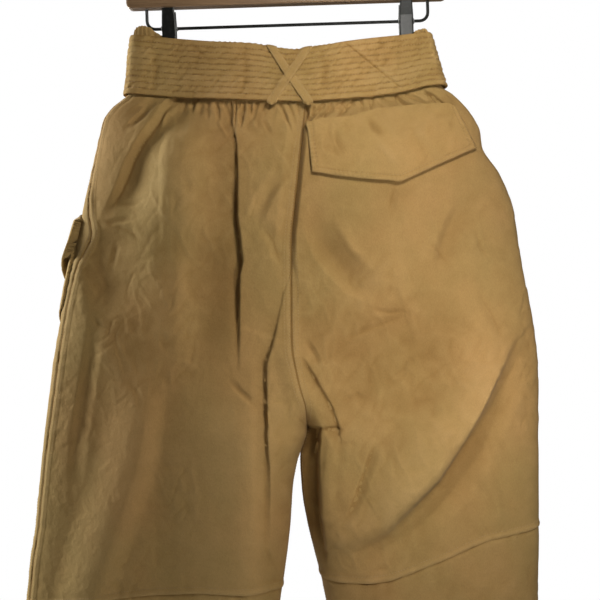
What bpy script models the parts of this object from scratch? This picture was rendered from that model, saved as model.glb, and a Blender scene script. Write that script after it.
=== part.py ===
"""Paperbag waist trousers hanging by the waist from a wooden clip hanger.

Frame: the origin is the point under the hook's crown that rests on the rail,
+Z is up, the trousers' back faces -Y and the wearer's right is at +X.
Sizes are millimetres until a mesh is made.
"""

from collections import namedtuple
import math

import bmesh
import bpy
import numpy as np
from mathutils import Vector

MM = 0.001

# Driving sizes
WALL = 1.3                # cotton cloth
HEM_WALL = 2.4            # turned hem, two more layers
SEAM_GAP = 0.3            # between sewn pieces
WAIST_Z = -218.6          # waist seam at the centre back
BELT_TUCK = 3.0           # the seam lies this far above the belt's lower edge
KNEE_Z = -735.0           # nominal knee seam
HEM_Z = -1209.0
HEM_DEPTH = 25.0
SECTION_POWER = 2.4       # 2 is an ellipse, more is flatter
CLIP_X = (-123.9, 136.4)  # where the clips pinch the waistband
CLIP_FLAT = 9.0           # half the width that a clip presses flat
PINCH = 2.2               # half depth of the waistband between a clip's plates
HANG_SHIFT = -1.5         # the waist sits this far off the hanger's middle

# The outline by height: outer edges, the middle seams, half depths, and turn,
# which is 1 where both halves share one hollow and 0 where each leg is closed.
Level = namedtuple("Level", "z left right in_left in_right "
                            "back_left back_right front_left front_right turn")
LEVELS = [
    Level(-196, -170.0, 175.6, 27.0, 27.0, 21, 21, 17, 17, 1.00),
    Level(-201, -170.2, 176.8, 27.0, 27.0, 22, 22, 18, 18, 1.00),
    Level(-208, -170.6, 186.5, 27.0, 27.0, 24, 24, 20, 20, 1.00),
    Level(-214, -175.5, 193.0, 26.0, 26.0, 26, 26, 22, 22, 1.00),
    Level(-222, -185.5, 201.0, 25.5, 25.5, 30, 30, 25, 25, 1.00),
    Level(-234, -195.0, 210.5, 24.0, 24.0, 34, 34, 28, 28, 1.00),
    Level(-248, -199.0, 216.5, 22.0, 22.0, 38, 38, 32, 32, 1.00),
    Level(-265, -202.5, 219.0, 20.5, 20.5, 41, 41, 36, 36, 1.00),
    Level(-295, -209.5, 238.0, 17.5, 17.5, 44, 44, 40, 40, 1.00),
    Level(-328, -217.5, 251.5, 14.0, 14.0, 46, 46, 42, 42, 1.00),
    Level(-377, -228.0, 260.0, 10.0, 10.0, 47, 47, 43, 43, 1.00),
    Level(-427, -238.5, 270.0, 10.0, 10.0, 46, 46, 43, 43, 1.00),
    Level(-476, -247.5, 279.0, 10.5, 10.5, 44, 44, 42, 42, 0.98),
    Level(-520, -254.0, 281.0, 18.0, 18.0, 42, 42, 40, 40, 0.84),
    Level(-548, -257.5, 281.0, 25.5, 25.5, 40, 41, 38, 40, 0.52),
    Level(-562, -259.0, 280.5, 26.5, 26.5, 39, 41, 37, 41, 0.27),
    Level(-568, -259.5, 280.0, 26.7, 26.9, 38, 41, 36, 41, 0.13),
    Level(-573, -260.0, 280.0, 26.3, 26.9, 38, 41, 36, 41, 0.00),
    Level(-590, -262.0, 280.5, 22.5, 23.8, 37, 42, 35, 43, 0.00),
    Level(-606, -263.5, 281.0, 17.0, 20.0, 36, 43, 34, 45, 0.00),
    Level(-641, -267.0, 281.0, 11.0, 21.5, 35, 46, 33, 48, 0.00),
    Level(-674, -270.0, 281.0, 9.0, 27.0, 34, 48, 32, 51, 0.00),
    Level(-740, -279.0, 280.5, 1.0, 43.5, 33, 51, 31, 54, 0.00),
    Level(-800, -282.0, 280.0, -9.0, 55.0, 33, 50, 31, 52, 0.00),
    Level(-900, -282.5, 277.5, -25.0, 66.0, 32, 46, 31, 48, 0.00),
    Level(-1000, -279.0, 273.5, -38.0, 72.0, 31, 41, 30, 42, 0.00),
    Level(-1100, -273.0, 269.0, -51.0, 76.0, 30, 37, 29, 37, 0.00),
    Level(-1209, -266.0, 264.0, -64.0, 79.0, 28, 33, 27, 32, 0.00),
]

# How far each side seam lies from the outer edge: the left one has turned on
# to the back, the right one on to the front.
SideSeam = namedtuple("SideSeam", "z left right")
SIDE_SEAMS = [
    SideSeam(-218, 0.6, 0.6), SideSeam(-250, 1.5, 2.0), SideSeam(-295, 3.5, 5.0),
    SideSeam(-317, 6.0, 6.5), SideSeam(-340, 11.0, 7.5), SideSeam(-361, 18.5, 8.0),
    SideSeam(-382, 13.5, 8.5), SideSeam(-408, 9.8, 9.0), SideSeam(-435, 9.0, 9.0),
    SideSeam(-521, 9.0, 9.0), SideSeam(-608, 6.0, 8.0), SideSeam(-762, 5.5, 7.0),
    SideSeam(-1209, 5.0, 6.0),
]

# The share of a leg's width over which its inner edge rounds.
LegRound = namedtuple("LegRound", "z share")
LEG_ROUNDS = [LegRound(-480, 0.12), LegRound(-573, 0.14), LegRound(-640, 0.22),
              LegRound(-760, 0.34), LegRound(-950, 0.45), LegRound(-1209, 0.5)]

# The belt's edges: it droops between the clips.
BeltEdge = namedtuple("BeltEdge", "x top bottom")
BELT_EDGES = [
    BeltEdge(-172, -142.0, -208.0), BeltEdge(-109, -147.5, -213.0),
    BeltEdge(-72, -152.0, -216.0), BeltEdge(-35, -155.5, -219.0),
    BeltEdge(12, -163.0, -221.5), BeltEdge(39, -159.0, -220.0),
    BeltEdge(68, -152.5, -217.0), BeltEdge(127, -143.0, -207.5),
    BeltEdge(160, -140.0, -200.0), BeltEdge(178, -143.0, -198.5),
]

# The waistband's free top edge, a little ruffle above the belt.
BandTop = namedtuple("BandTop", "x z")
BAND_TOP = [
    BandTop(-165, -139.0), BandTop(-160, -133.5), BandTop(-153, -132.0),
    BandTop(-146, -133.5), BandTop(-136, -140.5), BandTop(-124, -144.5),
    BandTop(-72, -150.5), BandTop(-35, -153.8), BandTop(0, -160.0),
    BandTop(12, -161.2), BandTop(39, -156.8), BandTop(68, -152.0),
    BandTop(127, -144.0), BandTop(138, -141.5), BandTop(148, -136.0),
    BandTop(156, -135.0), BandTop(161, -138.0),
]

# The knee seams' drop from KNEE_Z, from the inseam (0) to the side seam (1).
KneeLine = namedtuple("KneeLine", "across left right")
KNEE_LINE = [
    KneeLine(0.00, -11, 4), KneeLine(0.25, -7, 8), KneeLine(0.50, -12, 27),
    KneeLine(0.75, -22, 49), KneeLine(1.00, -33, 57),
]

# The largest folds. A path runs down the cloth in X, Z; west and east are the
# fold's widths to each side of it; height is out (+) or in (-); start and end
# are the shares of that height left at the path's two ends.
Fold = namedtuple("Fold", "path west east height start end")
BACK_FOLDS = [
    Fold([(-50, -232), (-50, -263), (-49, -344), (-45.5, -375), (-48, -440), (-47, -506)],
         28, 12, -11.0, 0.3, 0.0),
    Fold([(-122, -224), (-129, -252), (-151, -284), (-164, -316), (-191, -349)],
         26, 16, -12.0, 0.6, 0.1),
    Fold([(25.5, -232), (22, -247), (18, -289), (14, -328), (10, -365), (10, -393), (12, -425)],
         14, 16, -9.0, 0.3, 0.1),
    Fold([(3, -290), (-20, -333), (-28, -360)], 15, 15, -4.0, 0.1, 0.1),
    Fold([(-139, -440), (-155, -538), (-172, -666), (-177, -751)], 28, 26, 7.0, 0.1, 0.6),
    Fold([(-107, -500), (-129, -570), (-140, -644), (-150, -715)], 24, 26, -9.0, 0.1, 0.4),
    Fold([(-18.5, -470), (-18.5, -533), (-18.5, -695), (-3, -731)], 14, 18, -7.0, 0.1, 0.3),
    Fold([(42, -344), (56, -375), (84, -406), (108, -416)], 22, 22, -8.0, 0.2, 0.1),
    Fold([(194, -326), (174, -411)], 24, 22, -5.0, 0.2, 0.1),
    Fold([(248, -455), (211, -539), (157, -613), (104, -665), (50, -690)],
         30, 26, 9.0, 0.1, 0.2),
    Fold([(262, -520), (236, -575), (205, -625), (170, -660), (140, -695)],
         26, 30, -9.0, 0.1, 0.2),
    Fold([(52, -572), (46, -622), (48, -686)], 16, 18, 5.0, 0.2, 0.1),
    Fold([(15, -492), (34, -512), (56, -556)], 13, 14, -4.0, 0.1, 0.3),
    Fold([(-160, -770), (-168, -880), (-150, -1010), (-154, -1120)], 26, 28, -5.0, 0.2, 0.2),
    Fold([(180, -760), (160, -880), (176, -1010), (168, -1120)], 26, 28, -5.0, 0.2, 0.2),
]
FRONT_FOLDS = [
    Fold([(-52, -236), (-60, -300), (-58, -380), (-66, -470)], 22, 18, -7.0, 0.3, 0.0),
    Fold([(-128, -226), (-136, -262), (-150, -310)], 20, 16, -6.0, 0.4, 0.0),
    Fold([(92, -228), (88, -300), (96, -380), (90, -460)], 18, 22, -7.0, 0.3, 0.0),
    Fold([(24, -238), (18, -290), (12, -360), (11, -420)], 14, 14, -5.0, 0.3, 0.1),
    Fold([(-110, -480), (-60, -512), (-14, -548)], 16, 16, -4.0, 0.1, 0.2),
    Fold([(160, -478), (105, -512), (62, -550)], 16, 16, -4.0, 0.1, 0.2),
    Fold([(-90, -560), (-104, -630), (-96, -700)], 22, 22, -6.0, 0.1, 0.3),
    Fold([(132, -560), (142, -625), (128, -700)], 22, 24, -6.0, 0.1, 0.3),
    Fold([(-190, -575), (-176, -650), (-184, -740)], 26, 24, 5.0, 0.1, 0.3),
    Fold([(-156, -790), (-148, -900), (-166, -1010), (-156, -1120)], 28, 26, -5.0, 0.2, 0.2),
    Fold([(170, -780), (186, -890), (166, -1000), (174, -1120)], 28, 26, -5.0, 0.2, 0.2),
]

# Rows of points down a panel: height, columns across a back and a front.
Row = namedtuple("Row", "z back front")
UPPER_ROWS = (
    [Row(z, 44, 36) for z in (WAIST_Z, -224.0, -232.5, -246.0)]
    + [Row(z, 24, 16) for z in (-262.0, -285.0, -312.0, -340.0, -361.0, -382.0,
                              -408.0, -440.0, -474.0)]
    + [Row(z, 18, 13) for z in (-505.0, -530.0, -548.0, -560.0, -568.0, -575.0, -598.0,
                                -640.0, -690.0)]
    + [Row(KNEE_Z + SEAM_GAP / 2, 12, 10)]
)
LOWER_ROWS = [Row(z, 12, 10) for z in (KNEE_Z - SEAM_GAP / 2, -790.0, -880.0, -990.0, -1100.0,
                                       HEM_Z + HEM_DEPTH, HEM_Z)]

GATHERS_PER_PANEL = 12
GATHER_HEIGHT = 2.8

# Colours, roughness and metal of the materials
KHAKI = (0.36, 0.235, 0.105)
KHAKI_DARK = (0.31, 0.2, 0.085)
OAK = (0.42, 0.27, 0.13)
BLACK_METAL = (0.012, 0.012, 0.013)


# ---------------------------------------------------------------- curves

def smooth_curve(knots, values, at):
    """Cubic through the values that doesn't overshoot them."""
    order = np.argsort(knots)
    x = np.asarray(knots, float)[order]
    y = np.asarray(values, float)[order]
    step = np.diff(x)
    slope = np.diff(y) / step
    tangent = np.empty(len(x))
    tangent[0], tangent[-1] = slope[0], slope[-1]
    before, after = slope[:-1], slope[1:]
    same_way = before * after > 0
    tangent[1:-1] = np.where(same_way, 2 * before * after / np.where(same_way, before + after, 1), 0)
    at = np.clip(at, x[0], x[-1])
    i = np.clip(np.searchsorted(x, at) - 1, 0, len(x) - 2)
    t = (at - x[i]) / step[i]
    return ((1 + 2 * t) * (1 - t) ** 2 * y[i] + t * (1 - t) ** 2 * step[i] * tangent[i]
            + t * t * (3 - 2 * t) * y[i + 1] - t * t * (1 - t) * step[i] * tangent[i + 1])


def column(rows, name, at, key="z"):
    """A table's named column, read at any height (or at any key)."""
    return smooth_curve([getattr(r, key) for r in rows], [getattr(r, name) for r in rows], at)


def smoothstep(t):
    t = np.clip(t, 0, 1)
    return t * t * (3 - 2 * t)


# ---------------------------------------------------------------- the waist

def waist_depth(x, down, left_end, right_end, face_share=1.0, gripped=0.0):
    """Half depth of the pinched waist at x; down is 0 at the belt's top edge and 1 at
    its bottom, and the clips' plates hold it flat down to gripped."""
    middle = sum(CLIP_X) / 2
    reach = (CLIP_X[1] - CLIP_X[0]) / 2
    away = np.abs(x - middle)
    pinch = PINCH + 6.4 * np.maximum(0, down - gripped) / (1 - gripped)
    bulge = (15 + 5 * down) * face_share * (1 - np.clip(away / (reach - CLIP_FLAT), 0, 1) ** 2) ** 1.5
    end = np.where(x < middle, middle - left_end, right_end - middle)
    past = np.clip((away - reach - CLIP_FLAT) / (end - reach - CLIP_FLAT), 0, 1)
    roll = (4.6 - 1.6 * down) * smoothstep(past / 0.75)
    return (pinch + bulge + roll) * np.sqrt(1 - past ** 6)


def waist_seam(x):
    return column(BELT_EDGES, "bottom", x, "x") + BELT_TUCK


# ---------------------------------------------------------------- the trousers' skin

def shifts(half, x, across, z):
    """How far the rows of points bend to follow the waist seam and the knee seam."""
    near_waist = 1 - smoothstep((WAIST_Z - z) / 100)
    near_knee = smoothstep((z + 560) / (KNEE_Z + 560)) * (1 - smoothstep((KNEE_Z - z) / 150))
    knee = smooth_curve([r.across for r in KNEE_LINE], [getattr(r, half) for r in KNEE_LINE], across)
    return near_waist * (waist_seam(x) - WAIST_Z) + near_knee * knee


def edges(half, z):
    """Middle and outer edge of a half at a row's nominal height."""
    rough_out = column(LEVELS, half, z)
    inner = column(LEVELS, "in_" + half, z + shifts(half, 26.0, 0.0, z))
    outer = column(LEVELS, half, z + shifts(half, rough_out, 1.0, z))
    return inner, outer


def turn_angle(z):
    return np.clip(column(LEVELS, "turn", z), 0, 1) * math.pi / 2


def turn_cosine(z):
    return np.maximum(np.cos(turn_angle(z)), 0)


def base_point(half, angle, z):
    """Unfolded skin. angle goes round the section: it starts at turn_angle on the
    middle seam of the back, is pi at the outer edge and returns along the front."""
    angle, z = np.broadcast_arrays(np.asarray(angle, float), np.asarray(z, float))
    inner, outer = edges(half, z)
    start = turn_cosine(z)
    across = (start - np.cos(angle)) / (1 + start)
    x = inner + (outer - inner) * across
    back = np.sin(angle) >= 0
    depth = np.where(back, column(LEVELS, "back_" + half, z), column(LEVELS, "front_" + half, z))
    to_inner = np.clip(1 - across / column(LEG_ROUNDS, "share", z), 0, 1)
    rounding = (1 - np.clip(across, 0, 1) ** SECTION_POWER) * (1 - start ** SECTION_POWER
                                                               * to_inner ** SECTION_POWER)
    full = depth * np.maximum(rounding, 0) ** (1 / SECTION_POWER)
    left_end = np.where(half == "left", outer, -400)
    right_end = np.where(half == "left", 400, outer)
    pinched = waist_depth(x, 1.0, left_end, right_end, np.where(back, 1.0, 0.8))
    filled = smoothstep((WAIST_Z - z) / 55)
    y = ((1 - filled) * pinched + filled * full) * np.where(back, -1, 1)
    return np.stack([x, y, z + shifts(half, x, across, z)], axis=-1)


def fold_height(fold, x, z):
    """A fold's height at points x, z."""
    points = np.array(fold.path, float)
    lengths = np.linalg.norm(np.diff(points, axis=0), axis=1)
    total = lengths.sum()
    best = np.full(np.shape(x), np.inf)
    side = np.zeros(np.shape(x))
    along = np.zeros(np.shape(x))
    walked = 0.0
    for a, b, length in zip(points[:-1], points[1:], lengths):
        dx, dz = (b - a) / length
        t = np.clip((x - a[0]) * dx + (z - a[1]) * dz, 0, length)
        distance = np.hypot(x - a[0] - t * dx, z - a[1] - t * dz)
        closer = distance < best
        best = np.where(closer, distance, best)
        side = np.where(closer, dx * (z - a[1]) - dz * (x - a[0]), side)
        along = np.where(closer, (walked + t) / total, along)
        walked += length
    width = fold.west + (fold.east - fold.west) * smoothstep((side + 3) / 6)
    profile = (1 - np.minimum(best / width, 1) ** 2) ** 2
    fade = ((fold.start + (1 - fold.start) * smoothstep(along / 0.3))
            * (fold.end + (1 - fold.end) * smoothstep((1 - along) / 0.4)))
    return fold.height * profile * fade


def gather_height(across, z):
    """Gathers under the waist seam, of uneven length."""
    drop = WAIST_Z - z
    place = across * (1.3 - 0.3 * across)
    wave = np.cos(2 * math.pi * GATHERS_PER_PANEL * place)
    reach = 30 + 12 * np.sin(19 * place) + 5 * np.sin(43 * place)
    height = GATHER_HEIGHT * (0.8 + 0.2 * np.sin(29 * place))
    rise = 0.15 + 0.85 * smoothstep((drop - 2) / 9)
    return wave * height * rise * (1 - smoothstep((drop - 6) / reach))


def skin(half, angle, z, gathers=1.0):
    """The cloth's outer face, with its folds."""
    angle, z = np.broadcast_arrays(np.asarray(angle, float), np.asarray(z, float))
    base = base_point(half, angle, z)
    round_way = base_point(half, angle + 0.02, z) - base_point(half, angle - 0.02, z)
    down_way = base_point(half, angle, z - 1.5) - base_point(half, angle, z + 1.5)
    out = outward(half, round_way, down_way)
    on_back = smoothstep((4 - base[..., 1]) / 8)
    height = sum(fold_height(f, base[..., 0], base[..., 2]) for f in BACK_FOLDS) * on_back
    height += sum(fold_height(f, base[..., 0], base[..., 2]) for f in FRONT_FOLDS) * (1 - on_back)
    start = turn_cosine(z)
    across = (start - np.cos(angle)) / (1 + start)
    legs_apart = smoothstep(column(LEVELS, "turn", z) * 1.2 - 0.2)
    height *= legs_apart + (1 - legs_apart) * smoothstep(across / 0.14)
    height += gathers * gather_height(across, z)
    return base + out * height[..., None]


def outward(half, round_way, down_way):
    cross = np.cross(round_way, down_way)
    cross /= np.maximum(np.linalg.norm(cross, axis=-1, keepdims=True), 1e-9)
    return cross if half == "left" else -cross


def skin_normal(half, angle, z, gathers=1.0):
    round_way = skin(half, angle + 0.012, z, gathers) - skin(half, angle - 0.012, z, gathers)
    down_way = skin(half, angle, z - 1.5, gathers) - skin(half, angle, z + 1.5, gathers)
    return outward(half, round_way, down_way)


def side_angle(half, z):
    """Where the side seam lies round the section."""
    inner, outer = edges(half, z)
    start = turn_cosine(z)
    inset = column(SIDE_SEAMS, half, z)
    across = 1 - inset / abs(outer - inner)
    angle = math.acos(start - across * (1 + start))
    return angle if half == "left" else 2 * math.pi - angle


def spread(half, first, last, z, count, trim=SEAM_GAP / 2):
    """Angles of columns that run straight down, closer together at a half's edges."""
    dense = np.linspace(first, last, 400)
    path = base_point(half, dense, z)[:, :2]
    length = np.concatenate([[0], np.cumsum(np.hypot(*np.diff(path, axis=0).T))])
    start = turn_cosine(z)
    across = np.clip((start - np.cos(dense)) / (1 + start), 0, 1)
    place = 0.5 * across + 0.5 * np.arccos(1 - 2 * across) / math.pi
    measure = np.concatenate([[0], np.cumsum(np.abs(np.diff(place)) + 1e-6)])
    ends = np.interp([trim, length[-1] - trim], length, measure)
    return np.interp(np.linspace(ends[0], ends[1], count), measure, dense)


def panel_angles(half, face, z, count):
    seam = side_angle(half, z)
    start = turn_angle(z)
    if face == "back":
        return spread(half, start, seam, z, count)
    return spread(half, seam, 2 * math.pi - start, z, count)


# ---------------------------------------------------------------- meshes

def zip_rows(upper, lower, upper_at, lower_at):
    """Triangles between two rows of vertices that may differ in number."""
    faces = []
    i = j = 0
    while i < len(upper) - 1 or j < len(lower) - 1:
        next_upper = upper_at[i + 1] if i < len(upper) - 1 else math.inf
        next_lower = lower_at[j + 1] if j < len(lower) - 1 else math.inf
        if next_upper <= next_lower + 1e-9:
            faces.append((upper[i], upper[i + 1], lower[j]))
            i += 1
        else:
            faces.append((upper[i], lower[j + 1], lower[j]))
            j += 1
    return faces


def wall(name, outer_rows, inner_rows, colour, closed=False, smooth_below=50):
    """A closed wall between rows of outer and of inner points."""
    points = []

    def number(rows):
        numbered = []
        for row in rows:
            first = len(points)
            points.extend(row)
            ids = list(range(first, first + len(row)))
            at = list(np.linspace(0, 1, len(row) + (1 if closed else 0)))
            if closed:
                ids.append(first)
            numbered.append((ids, at))
        return numbered

    outer = number(outer_rows)
    inner = number(inner_rows)
    faces = []
    for (a, a_at), (b, b_at) in zip(outer[:-1], outer[1:]):
        faces += zip_rows(a, b, a_at, b_at)
    for (a, a_at), (b, b_at) in zip(inner[:-1], inner[1:]):
        faces += [f[::-1] for f in zip_rows(a, b, a_at, b_at)]
    faces += [f[::-1] for f in zip_rows(outer[0][0], inner[0][0], outer[0][1], inner[0][1])]
    faces += zip_rows(outer[-1][0], inner[-1][0], outer[-1][1], inner[-1][1])
    if not closed:
        for side in (0, -1):
            rim = zip_rows([ids[side] for ids, _ in outer], [ids[side] for ids, _ in inner],
                           np.linspace(0, 1, len(outer)), np.linspace(0, 1, len(inner)))
            faces += rim if side == 0 else [f[::-1] for f in rim]
    mesh = bpy.data.meshes.new(name)
    mesh.from_pydata([Vector(p) * MM for p in points], [], faces)
    return finish(name, mesh, colour, smooth_below)


def finish(name, mesh, colour, smooth_below=50, roughness=0.85, metallic=0.0, parent=None):
    """Face the mesh outward, give it its material and put it in the scene."""
    shape = bmesh.new()
    shape.from_mesh(mesh)
    bmesh.ops.recalc_face_normals(shape, faces=shape.faces)
    if shape.calc_volume(signed=True) < 0:
        bmesh.ops.reverse_faces(shape, faces=shape.faces)
    shape.to_mesh(mesh)
    shape.free()
    mesh.shade_smooth()
    mesh.set_sharp_from_angle(angle=math.radians(smooth_below))
    thing = bpy.data.objects.new(name, mesh)
    bpy.context.scene.collection.objects.link(thing)
    mesh.materials.append(material(name, colour, roughness, metallic))
    thing.parent = parent
    return thing


def material(name, colour, roughness, metallic):
    made = bpy.data.materials.new(name)
    made.use_nodes = True
    shader = made.node_tree.nodes["Principled BSDF"]
    shader.inputs["Base Color"].default_value = (*colour, 1)
    shader.inputs["Roughness"].default_value = roughness
    shader.inputs["Metallic"].default_value = metallic
    return made


def hung(points):
    """Garment points in the hanger's frame of reference: the waist is off its middle."""
    return [Vector((p[0] + HANG_SHIFT, p[1], p[2])) for p in points]


# ---------------------------------------------------------------- the panels

def panel(name, half, face, rows):
    outer_rows, inner_rows = [], []
    for row in rows:
        angles = panel_angles(half, face, row.z, getattr(row, face))
        outer = skin(half, angles, row.z)
        thick = HEM_WALL if row.z < HEM_Z + HEM_DEPTH + 1 else WALL
        inner = outer - thick * skin_normal(half, angles, row.z)
        outer_rows.append(hung(outer))
        inner_rows.append(hung(inner))
    return wall(name, outer_rows, inner_rows, KHAKI)


def build_panels():
    for half in ("left", "right"):
        for face in ("back", "front"):
            panel(f"{face}_{half}", half, face, UPPER_ROWS)
            panel(f"lower_{face}_{half}", half, face, LOWER_ROWS)


# ---------------------------------------------------------------- waistband and belt

Ring = namedtuple("Ring", "left_top left_bottom right_top right_bottom clear clear_bottom gripped")
BAND_RING = Ring(-163.6, -169.6, 160.0, 175.6, 0.0, 0.0, 0.24)  # outer face of the waistband
BELT_RING = Ring(-165.4, -172.8, 161.8, 179.0, 2.0, 3.0, 0.0)   # inner face of the belt
BELT_WALL = 2.0                                         # at the stitch lines
BELT_PUFF = 0.9                                         # more, between them
BELT_CHANNELS = 10
BELT_COLUMNS = 46
BAND_RIBS = 44
BAND_RIB = 0.35                                         # half a rib's height
BAND_SAMPLES = 3                                        # points a rib
BAND_INSIDE = 88                                        # columns on the plain inside


def ring_point(ring, angle, down, top, bottom):
    """A point round the waist: angle 0 is the left end, the back runs from 0 to pi."""
    left = ring.left_top + (ring.left_bottom - ring.left_top) * down
    right = ring.right_top + (ring.right_bottom - ring.right_top) * down
    x = (left + right) / 2 - (right - left) / 2 * np.cos(angle)
    back = np.sin(angle) >= 0
    depth = waist_depth(x, down, left, right, np.where(back, 1.0, 0.8), ring.gripped)
    clear = (ring.clear + (ring.clear_bottom - ring.clear) * down) * np.minimum(1, 4 * np.abs(np.sin(angle)))
    z = top(x) + (bottom(x) - top(x)) * down
    return np.stack([x, (depth + clear) * np.where(back, -1, 1), z], axis=-1)


def ring_out(ring, angle, down, top, bottom):
    """Level direction out of the ring."""
    ahead = ring_point(ring, angle + 0.02, down, top, bottom)
    behind = ring_point(ring, angle - 0.02, down, top, bottom)
    way = ahead - behind
    out = np.stack([way[..., 1], -way[..., 0], np.zeros(np.shape(angle))], axis=-1)
    return out / np.linalg.norm(out, axis=-1, keepdims=True)


def ring_spread(ring, down, first, last, count, closed, top, bottom, bend_share=14):
    dense = np.linspace(first, last, 900)
    path = ring_point(ring, dense, down, top, bottom)[:, :2]
    move = np.diff(path, axis=0)
    length = np.concatenate([[0], np.cumsum(np.hypot(move[:, 0], move[:, 1]))])
    heading = np.unwrap(np.arctan2(move[:, 1], move[:, 0]))
    measure = length + bend_share * np.concatenate([[0, 0], np.cumsum(np.abs(np.diff(heading)))])
    wanted = np.linspace(0, measure[-1], count + (1 if closed else 0))
    return np.interp(wanted[:count], measure, dense)


def band_top(x):
    return column(BAND_TOP, "z", x, "x")


def band_bottom(x):
    return waist_seam(x) + SEAM_GAP


def build_waistband():
    outer_rows, inner_rows = [], []
    for down in (0.0, 0.07, 0.24, 1.0):
        angles = ring_spread(BAND_RING, down, 0, 2 * math.pi, BAND_RIBS * BAND_SAMPLES, True,
                             band_top, band_bottom)
        ribs = np.sin(2 * math.pi * BAND_RIBS * np.arange(len(angles)) / len(angles))
        height = BAND_RIB * (ribs - 1) - (0.3 if down == 0 else 0)
        points = ring_point(BAND_RING, angles, down, band_top, band_bottom)
        out = ring_out(BAND_RING, angles, down, band_top, band_bottom)
        outer_rows.append(hung(points + out * height[:, None]))
    for down in (0.0, 0.24, 1.0):
        angles = ring_spread(BAND_RING, down, 0, 2 * math.pi, BAND_INSIDE, True, band_top, band_bottom)
        points = ring_point(BAND_RING, angles, down, band_top, band_bottom)
        out = ring_out(BAND_RING, angles, down, band_top, band_bottom)
        inner_rows.append(hung(points - out * (WALL + 2 * BAND_RIB)))
    return wall("waistband", outer_rows, inner_rows, KHAKI_DARK, closed=True)


def belt_top(x):
    return column(BELT_EDGES, "top", x, "x")


def belt_bottom(x):
    return column(BELT_EDGES, "bottom", x, "x")


BELT_START = -1.25              # the under end, at the front
BELT_OVERLAP = 0.36             # how far round the outer end lies over it
BELT_STEP = BELT_WALL + BELT_PUFF + 0.6


def belt_lift(angle):
    """The outer end rises off the ring to pass over the under end."""
    meet = BELT_START + 2 * math.pi
    return BELT_STEP * smoothstep((angle - meet + 0.5) / 0.3)


def build_belt():
    first, last = BELT_START, BELT_START + 2 * math.pi + BELT_OVERLAP
    outer_rows, inner_rows = [], []
    shares = [0.0]
    for channel in range(BELT_CHANNELS):
        shares += [(channel + 0.5) / BELT_CHANNELS, (channel + 1) / BELT_CHANNELS]
    for number, down in enumerate(shares):
        angles = ring_spread(BELT_RING, down, first, last, BELT_COLUMNS, False, belt_top, belt_bottom, 20)
        points = ring_point(BELT_RING, angles, down, belt_top, belt_bottom)
        out = ring_out(BELT_RING, angles, down, belt_top, belt_bottom)
        puff = BELT_PUFF if number % 2 else 0.0
        outer_rows.append(hung(points + out * (belt_lift(angles) + BELT_WALL + puff)[:, None]))
        if number % 2 == 0:
            inner_rows.append(hung(points + out * belt_lift(angles)[:, None]))
    return wall("belt", outer_rows, inner_rows, KHAKI, smooth_below=75)


# ---------------------------------------------------------------- crossed belt loops

Loop = namedtuple("Loop", "name top_x bottom_x lift")
BELT_LOOPS = [Loop("belt_loop_under", -11.3, 27.8, 0.0), Loop("belt_loop_over", 26.8, -10.3, 2.2)]
LOOP_WIDTH = 9.0
LOOP_WALL = 1.4
LOOP_CLEAR = 0.45         # off the belt's raised channels


def belt_face_depth(x, down):
    left = BELT_RING.left_top + (BELT_RING.left_bottom - BELT_RING.left_top) * down
    right = BELT_RING.right_top + (BELT_RING.right_bottom - BELT_RING.right_top) * down
    clear = BELT_RING.clear + (BELT_RING.clear_bottom - BELT_RING.clear) * down
    return waist_depth(x, down, left, right) + clear + BELT_WALL + BELT_PUFF


def build_belt_loop(loop):
    """A strap from the waistband over the belt's face to the waist seam."""
    half_wall = LOOP_WALL / 2
    past_edge = SEAM_GAP + half_wall
    behind = -(BELT_WALL + BELT_PUFF)
    stations = [(0.0, past_edge, behind - 0.8), (0.0, past_edge, -0.6)]
    for share in (0.02, 0.13, 0.24, 0.36, 0.5, 0.64, 0.76, 0.87, 0.98):
        crossing = loop.lift * (1 - smoothstep((abs(share - 0.5) - 0.145) / 0.115))
        stations.append((share, 0.0, LOOP_CLEAR + half_wall + crossing))
    stations += [(1.0, -past_edge, -0.6), (1.0, -past_edge, behind + 1.2)]
    slant = math.atan2(loop.bottom_x - loop.top_x, belt_top(8) - belt_bottom(8))
    edges_of_strap = []
    for side in (-1, 1):
        line = []
        for share, past, off in stations:      # share down the belt, past its edge, off its face
            x = loop.top_x + (loop.bottom_x - loop.top_x) * share + side * LOOP_WIDTH / 2 / math.cos(slant)
            z = belt_top(x) + (belt_bottom(x) - belt_top(x)) * share + past
            line.append((x, -float(belt_face_depth(x, share)) - off, float(z)))
        edges_of_strap.append(np.array(line))
    way = np.gradient((edges_of_strap[0] + edges_of_strap[1]) / 2, axis=0)
    out = np.stack([np.zeros(len(way)), way[:, 2], -way[:, 1]], axis=-1)
    out /= np.linalg.norm(out, axis=-1, keepdims=True)
    left, right = edges_of_strap
    outer_rows = [hung([a + half_wall * n, b + half_wall * n]) for a, b, n in zip(left, right, out)]
    inner_rows = [hung([a - half_wall * n, b - half_wall * n]) for a, b, n in zip(left, right, out)]
    return wall(loop.name, outer_rows, inner_rows, KHAKI, smooth_below=40)


# ---------------------------------------------------------------- flaps and pockets

def place_on(half, face, x, z):
    """The section angle and nominal row of the skin's point at x and height z."""
    row = np.array(z, float)
    angle = np.full(np.shape(row), math.pi * 0.75)
    for _ in range(12):
        inner, outer = edges(half, row)
        start = turn_cosine(row)
        across = np.clip((x - inner) / (outer - inner), 0, 1)
        angle = np.arccos(np.clip(start - across * (1 + start), -1, 1))
        row = z - shifts(half, x, across, row)
    if face == "front":
        angle = 2 * math.pi - angle
    return angle, row


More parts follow.
